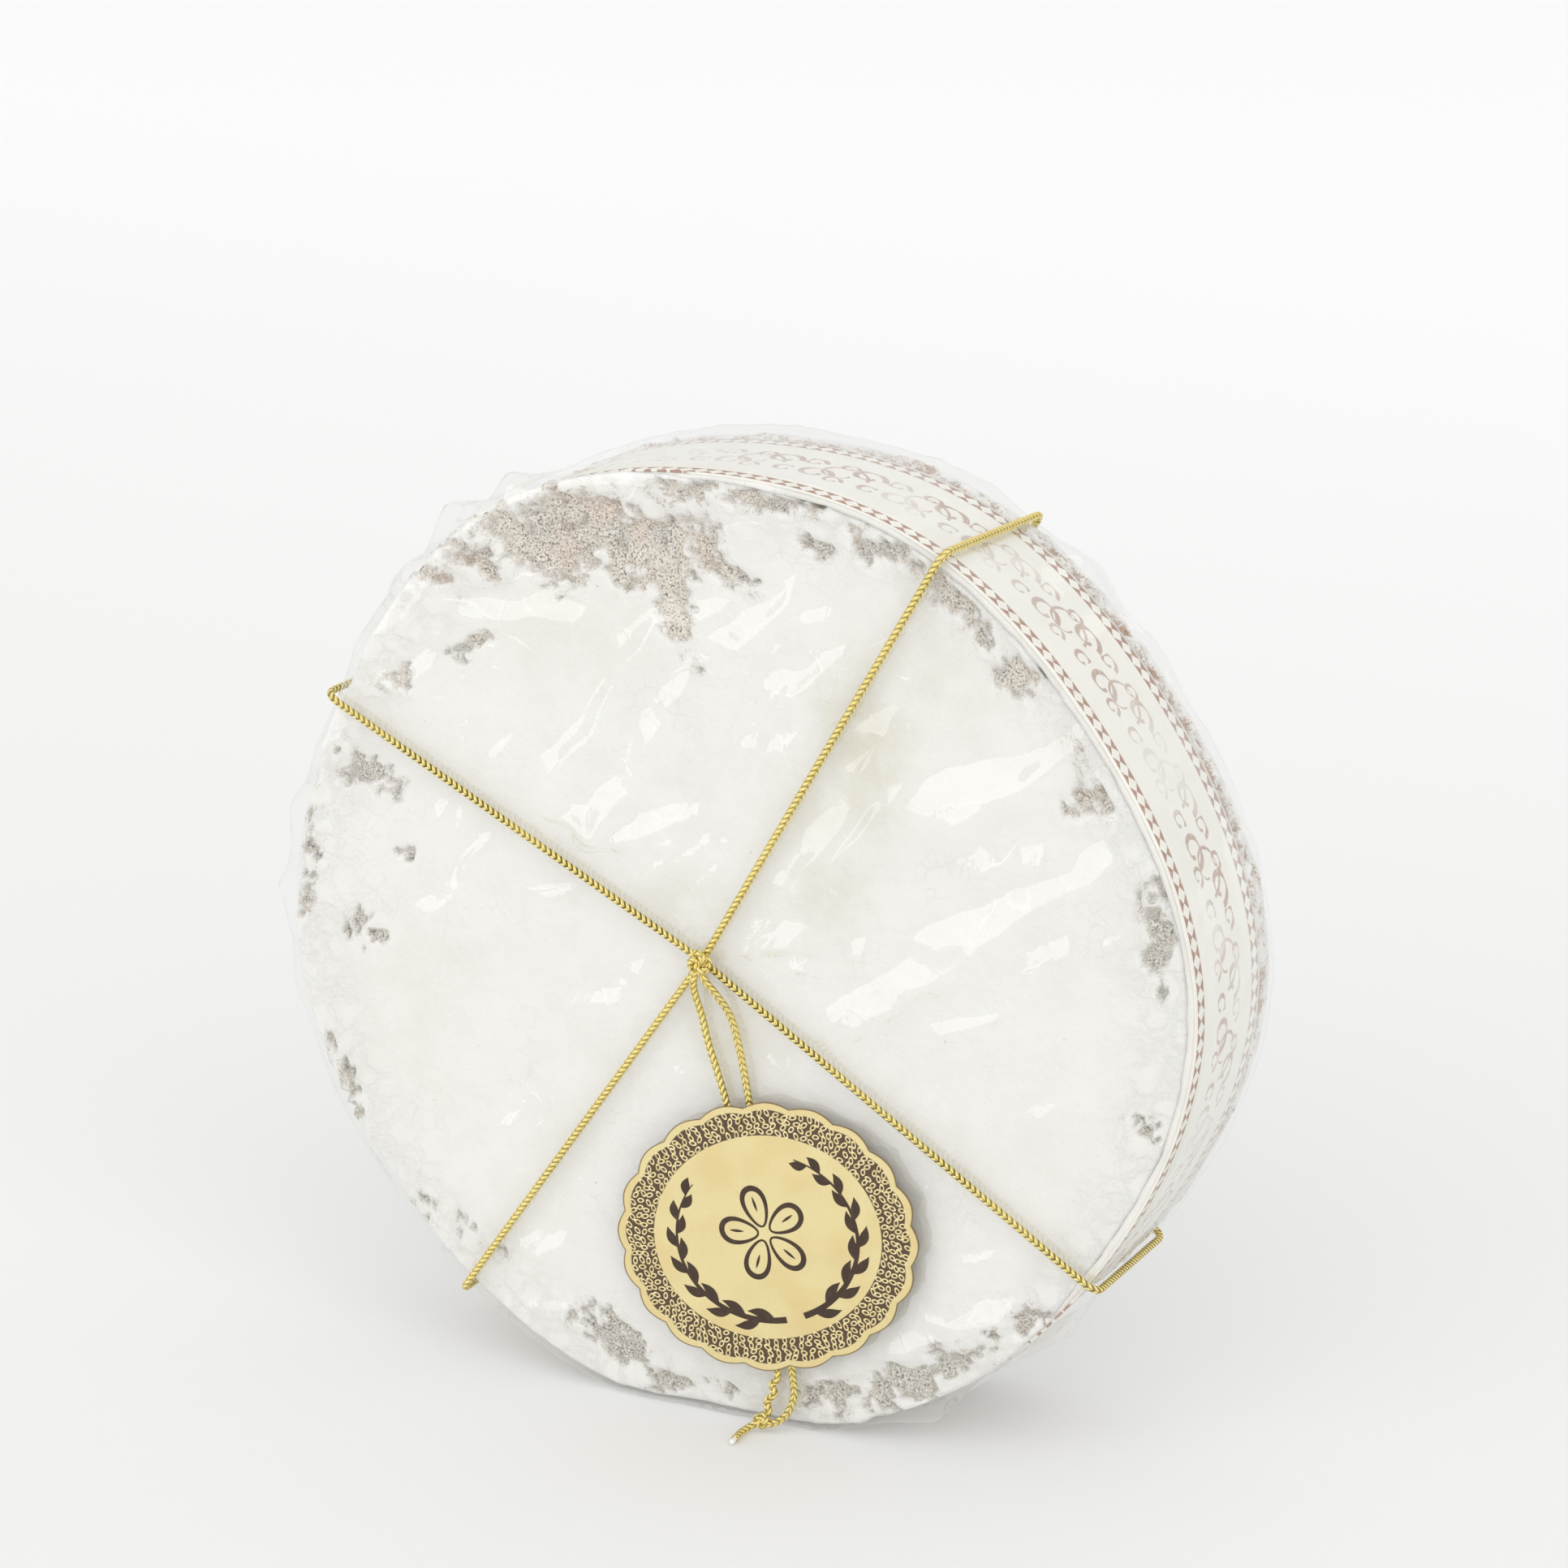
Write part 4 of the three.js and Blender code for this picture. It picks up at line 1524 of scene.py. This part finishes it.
def ink_finish(sizes):
    f = Finish("dark brown ink")
    place = f.place()
    worn = f.grain(place, 1.2 * MM, 3, 0.6)
    colour = f.mix(f.ramp(worn, 0.5, 0.75) * 0.5, (0.045, 0.026, 0.016, 1), (0.10, 0.06, 0.035, 1))
    look = {
        "Base Color": colour,
        "Roughness": f.ramp(worn, 0.3, 0.7, 0.35, 0.5),
        "Specular IOR Level": 0.35,
    }
    return f.done(f.principled(look))


# ---- operators ----
class PANFORTE_OT_cake(bpy.types.Operator):
    """Make the sugared cake"""

    bl_idname = "panforte.cake"
    bl_label = "Cake"
    bl_options = {"REGISTER", "UNDO"}

    def execute(self, context):
        cake = make_cake(context.scene.panforte_cake)
        hand_over(cake, "sugared_cake", "cake")
        return {"FINISHED"}


class PANFORTE_OT_wafer(bpy.types.Operator):
    """Make the wafer strip round the side, whose edge shows at the front"""

    bl_idname = "panforte.wafer"
    bl_label = "Wafer Edge"
    bl_options = {"REGISTER", "UNDO"}

    def execute(self, context):
        wafer = make_wafer(context.scene.panforte_cake)
        hand_over(wafer, "wafer_paper", "wafer_side_strip")
        return {"FINISHED"}


class PANFORTE_OT_band(bpy.types.Operator):
    """Make the printed paper band"""

    bl_idname = "panforte.band"
    bl_label = "Printed Band"
    bl_options = {"REGISTER", "UNDO"}

    def execute(self, context):
        band = make_band(context.scene.panforte_band)
        hand_over(band, "printed_paper", "printed_band")
        return {"FINISHED"}


class PANFORTE_OT_film(bpy.types.Operator):
    """Make the clear film, folded behind"""

    bl_idname = "panforte.film"
    bl_label = "Clear Film"
    bl_options = {"REGISTER", "UNDO"}

    def execute(self, context):
        sizes = context.scene.panforte_film
        film = make_film(sizes)
        hand_over(film, "clear_film", "film_wrap")
        return {"FINISHED"}


class PANFORTE_OT_tie(bpy.types.Operator):
    """Make the two runs of the tie and the knot where they meet"""

    bl_idname = "panforte.tie"
    bl_label = "Tie and Knot"
    bl_options = {"REGISTER", "UNDO"}

    def execute(self, context):
        sizes = context.scene.panforte_cord
        gold = cord_finish(sizes, "gold braid", 0.15)
        # The run from upper left to lower right gets a copy with wider, darker painted shade between
        # its stitches.
        shaded = cord_finish(sizes, "gold braid, painted shaded run", 0.9)
        route_a = tie_route("upper_left", "lower_right", False)
        run_a, _ = braid("tie_braid_a", route_a, sizes, shaded)
        hand_over(run_a, "gold_cord", "tie_cord_a")
        run_b, _ = braid("tie_braid_b", tie_route("upper_right", "lower_left", True), sizes, gold)
        hand_over(run_b, "gold_cord", "tie_cord_b")
        knot, _ = braid("centre_knot_braid", knot_route(KNOT, 0.9, 0.5, 0.8, 0.4), sizes, gold)
        hand_over(knot, "gold_cord", "centre_knot")
        return {"FINISHED"}


class PANFORTE_OT_strands(bpy.types.Operator):
    """Make the two free ends of the cord, the small knot below and the cut end"""

    bl_idname = "panforte.strands"
    bl_label = "Hanging Strands"
    bl_options = {"REGISTER", "UNDO"}

    def execute(self, context):
        sizes = context.scene.panforte_cord
        gold = bpy.data.materials["gold braid"]
        knot, _ = braid("end_knot_braid", knot_route(END_KNOT, 0.5, 0.35, 1.0, 1.1), sizes, gold)
        hand_over(knot, "gold_cord", "end_knot")
        cut, _ = braid("cut_end_braid", smooth_route((END_KNOT, *CUT_END), BRAID_STEP), sizes, gold)
        hand_over(cut, "gold_cord", "cut_end")
        end = Vector(CUT_END[-1])
        ahead = (end - Vector(CUT_END[-2])).normalized()
        core_route = straight(end - ahead * 0.3, end + ahead * 1.3, 0.1)
        core_bm, _ = tube(core_route, 0.42, 12, 0.6)
        core = link("core_yarn_end", core_bm, yarn_finish(sizes))
        hand_over(core, "core_yarn", "cord_core")
        below = [knot, cut, core] + [bpy.data.objects[n] for n in SEAL_PIECES]
        for name, points in (
            ("strand_braid_left", LEFT_STRAND),
            ("strand_braid_right", RIGHT_STRAND),
        ):
            route = smooth_route(points, BRAID_STEP)
            strand, length = braid(name, route, sizes, gold)
            hand_over(strand, "gold_cord", name.replace("_braid", ""))
            length * MM
        return {"FINISHED"}


class PANFORTE_OT_seal(bpy.types.Operator):
    """Make the scalloped gold seal"""

    bl_idname = "panforte.seal"
    bl_label = "Gold Seal"
    bl_options = {"REGISTER", "UNDO"}

    def execute(self, context):
        sizes = context.scene.panforte_seal
        hand_over(make_seal(sizes), "gold_foil", "gold_seal")
        hand_over(make_eyelets(sizes), "gold_foil")
        hand_over(make_ornament(sizes), "gold_foil")
        return {"FINISHED"}


def softbox(name, place, target, width, height, watts):
    """A rectangular lamp at a place, turned to its target."""
    data = bpy.data.lights.new(name, "AREA")
    data.shape = "RECTANGLE"
    data.size = width
    data.size_y = height
    data.energy = watts
    lamp = bpy.data.objects.new(name, data)
    lamp.location = place
    lamp.rotation_euler = (Vector(target) - Vector(place)).to_track_quat("-Z", "Y").to_euler()
    bpy.context.scene.collection.objects.link(lamp)


def make_floor(sizes):
    bm = bmesh.new()
    bmesh.ops.create_grid(bm, x_segments=8, y_segments=8, size=sizes.floor_side / 2)
    mesh = bpy.data.meshes.new("floor")
    bm.to_mesh(mesh)
    bm.free()
    mesh.materials.append(floor_finish(sizes))
    floor = bpy.data.objects.new("floor", mesh)
    bpy.context.scene.collection.objects.link(floor)


def floor_finish(sizes):
    f = Finish("floor paper")
    place = f.place()
    _, far, _ = f.parts(place)
    tooth = f.grain(place, 2 * MM, 3, 0.6)
    # Painted light: the floor is darker near the cake and lighter far off, in place of the fall of the
    # light, and its faint glow lightens the shadows on it.
    look = {
        "Base Color": f.mix(f.ramp(far, 0.0, 1.2), sizes.floor_colour, (0.74, 0.74, 0.74, 1)),
        "Roughness": 0.9,
        "Specular IOR Level": 0.15,
        "Emission Color": (1.0, 1.0, 1.0, 1),
        "Emission Strength": 0.14,
        "Normal": f.bump(tooth, 0.1 * MM, 0.1),
    }
    return f.done(f.principled(look))


def make_lights(sizes):
    """White surroundings, three softboxes and a broad light that leaves no glints of its own."""
    scene = bpy.context.scene
    world = scene.world or bpy.data.worlds.new("surroundings")
    scene.world = world
    world.use_nodes = True
    background = world.node_tree.nodes["Background"]
    background.inputs["Color"].default_value = (1.0, 1.0, 1.0, 1)
    background.inputs["Strength"].default_value = sizes.daylight

    middle = (0, 0, 0.07)
    softbox("key softbox", (-0.75, -0.85, 0.42), middle, 0.70, 0.90, 1.4)
    softbox("fill softbox", (0.85, -0.55, 0.70), middle, 0.60, 0.70, 0.5)
    softbox("top softbox", (0.10, 0.45, 1.00), middle, 0.90, 0.70, 0.6)
    data = bpy.data.lights.new("broad light", "SUN")
    data.energy = 1.65
    data.angle = math.radians(90)
    broad = bpy.data.objects.new("broad light", data)
    broad.rotation_euler = Vector((-0.36, 0.80, -0.42)).to_track_quat("-Z", "Y").to_euler()
    broad.visible_glossy = False
    scene.collection.objects.link(broad)


def make_camera(sizes):
    """A camera that looks a little past the cake's centre, to the right of it and above."""
    hub = CENTRE + Vector((0, -0.45 * MM, 0))
    turn = sizes.azimuth
    rise = sizes.elevation
    back = Vector(
        (math.sin(turn) * math.cos(rise), -math.cos(turn) * math.cos(rise), math.sin(rise))
    )
    right = Vector((math.cos(turn), math.sin(turn), 0))
    up = back.cross(right)
    data = bpy.data.cameras.new("camera")
    data.lens = sizes.lens
    data.sensor_width = 36
    data.clip_end = 100
    camera = bpy.data.objects.new("camera", data)
    camera.location = hub + back * sizes.distance
    target = hub + right * 2.9 * MM + up * 21.1 * MM
    camera.rotation_euler = (target - camera.location).to_track_quat("-Z", "Y").to_euler()
    bpy.context.scene.collection.objects.link(camera)
    bpy.context.scene.camera = camera


class PANFORTE_OT_stage(bpy.types.Operator):
    """Make the pale floor, the soft lights and the camera"""

    bl_idname = "panforte.stage"
    bl_label = "Stage"
    bl_options = {"REGISTER", "UNDO"}

    def execute(self, context):
        sizes = context.scene.panforte_stage
        make_floor(sizes)
        make_lights(sizes)
        make_camera(sizes)
        context.scene.view_settings.view_transform = "Standard"
        return {"FINISHED"}


OPERATORS = (
    PANFORTE_OT_stage,
    PANFORTE_OT_cake,
    PANFORTE_OT_wafer,
    PANFORTE_OT_band,
    PANFORTE_OT_film,
    PANFORTE_OT_tie,
    PANFORTE_OT_seal,
    PANFORTE_OT_strands,
)


class PANFORTE_PT_make(bpy.types.Panel):
    """The panforte's sizes and the buttons that make its pieces"""

    bl_idname = "PANFORTE_PT_make"
    bl_label = "Panforte"
    bl_space_type = "VIEW_3D"
    bl_region_type = "UI"
    bl_category = "Panforte"

    def draw(self, context):
        for operator in OPERATORS:
            self.layout.operator(operator.bl_idname)
        for name, group in SETTINGS.items():
            box = self.layout.box()
            box.label(text=group.__doc__)
            for key in group.__annotations__:
                box.prop(getattr(context.scene, name), key)


def register():
    for name, group in SETTINGS.items():
        bpy.utils.register_class(group)
        setattr(bpy.types.Scene, name, bpy.props.PointerProperty(type=group))
    for operator in OPERATORS:
        bpy.utils.register_class(operator)
    bpy.utils.register_class(PANFORTE_PT_make)


def unregister():
    bpy.utils.unregister_class(PANFORTE_PT_make)
    for operator in reversed(OPERATORS):
        bpy.utils.unregister_class(operator)
    for name, group in SETTINGS.items():
        delattr(bpy.types.Scene, name)
        bpy.utils.unregister_class(group)


def main():
    register()
    bpy.ops.panforte.stage()
    bpy.ops.panforte.cake()
    bpy.ops.panforte.wafer()
    bpy.ops.panforte.band()
    bpy.ops.panforte.film()
    bpy.ops.panforte.tie()
    bpy.ops.panforte.seal()
    bpy.ops.panforte.strands()


if __name__ == "__main__":
    main()
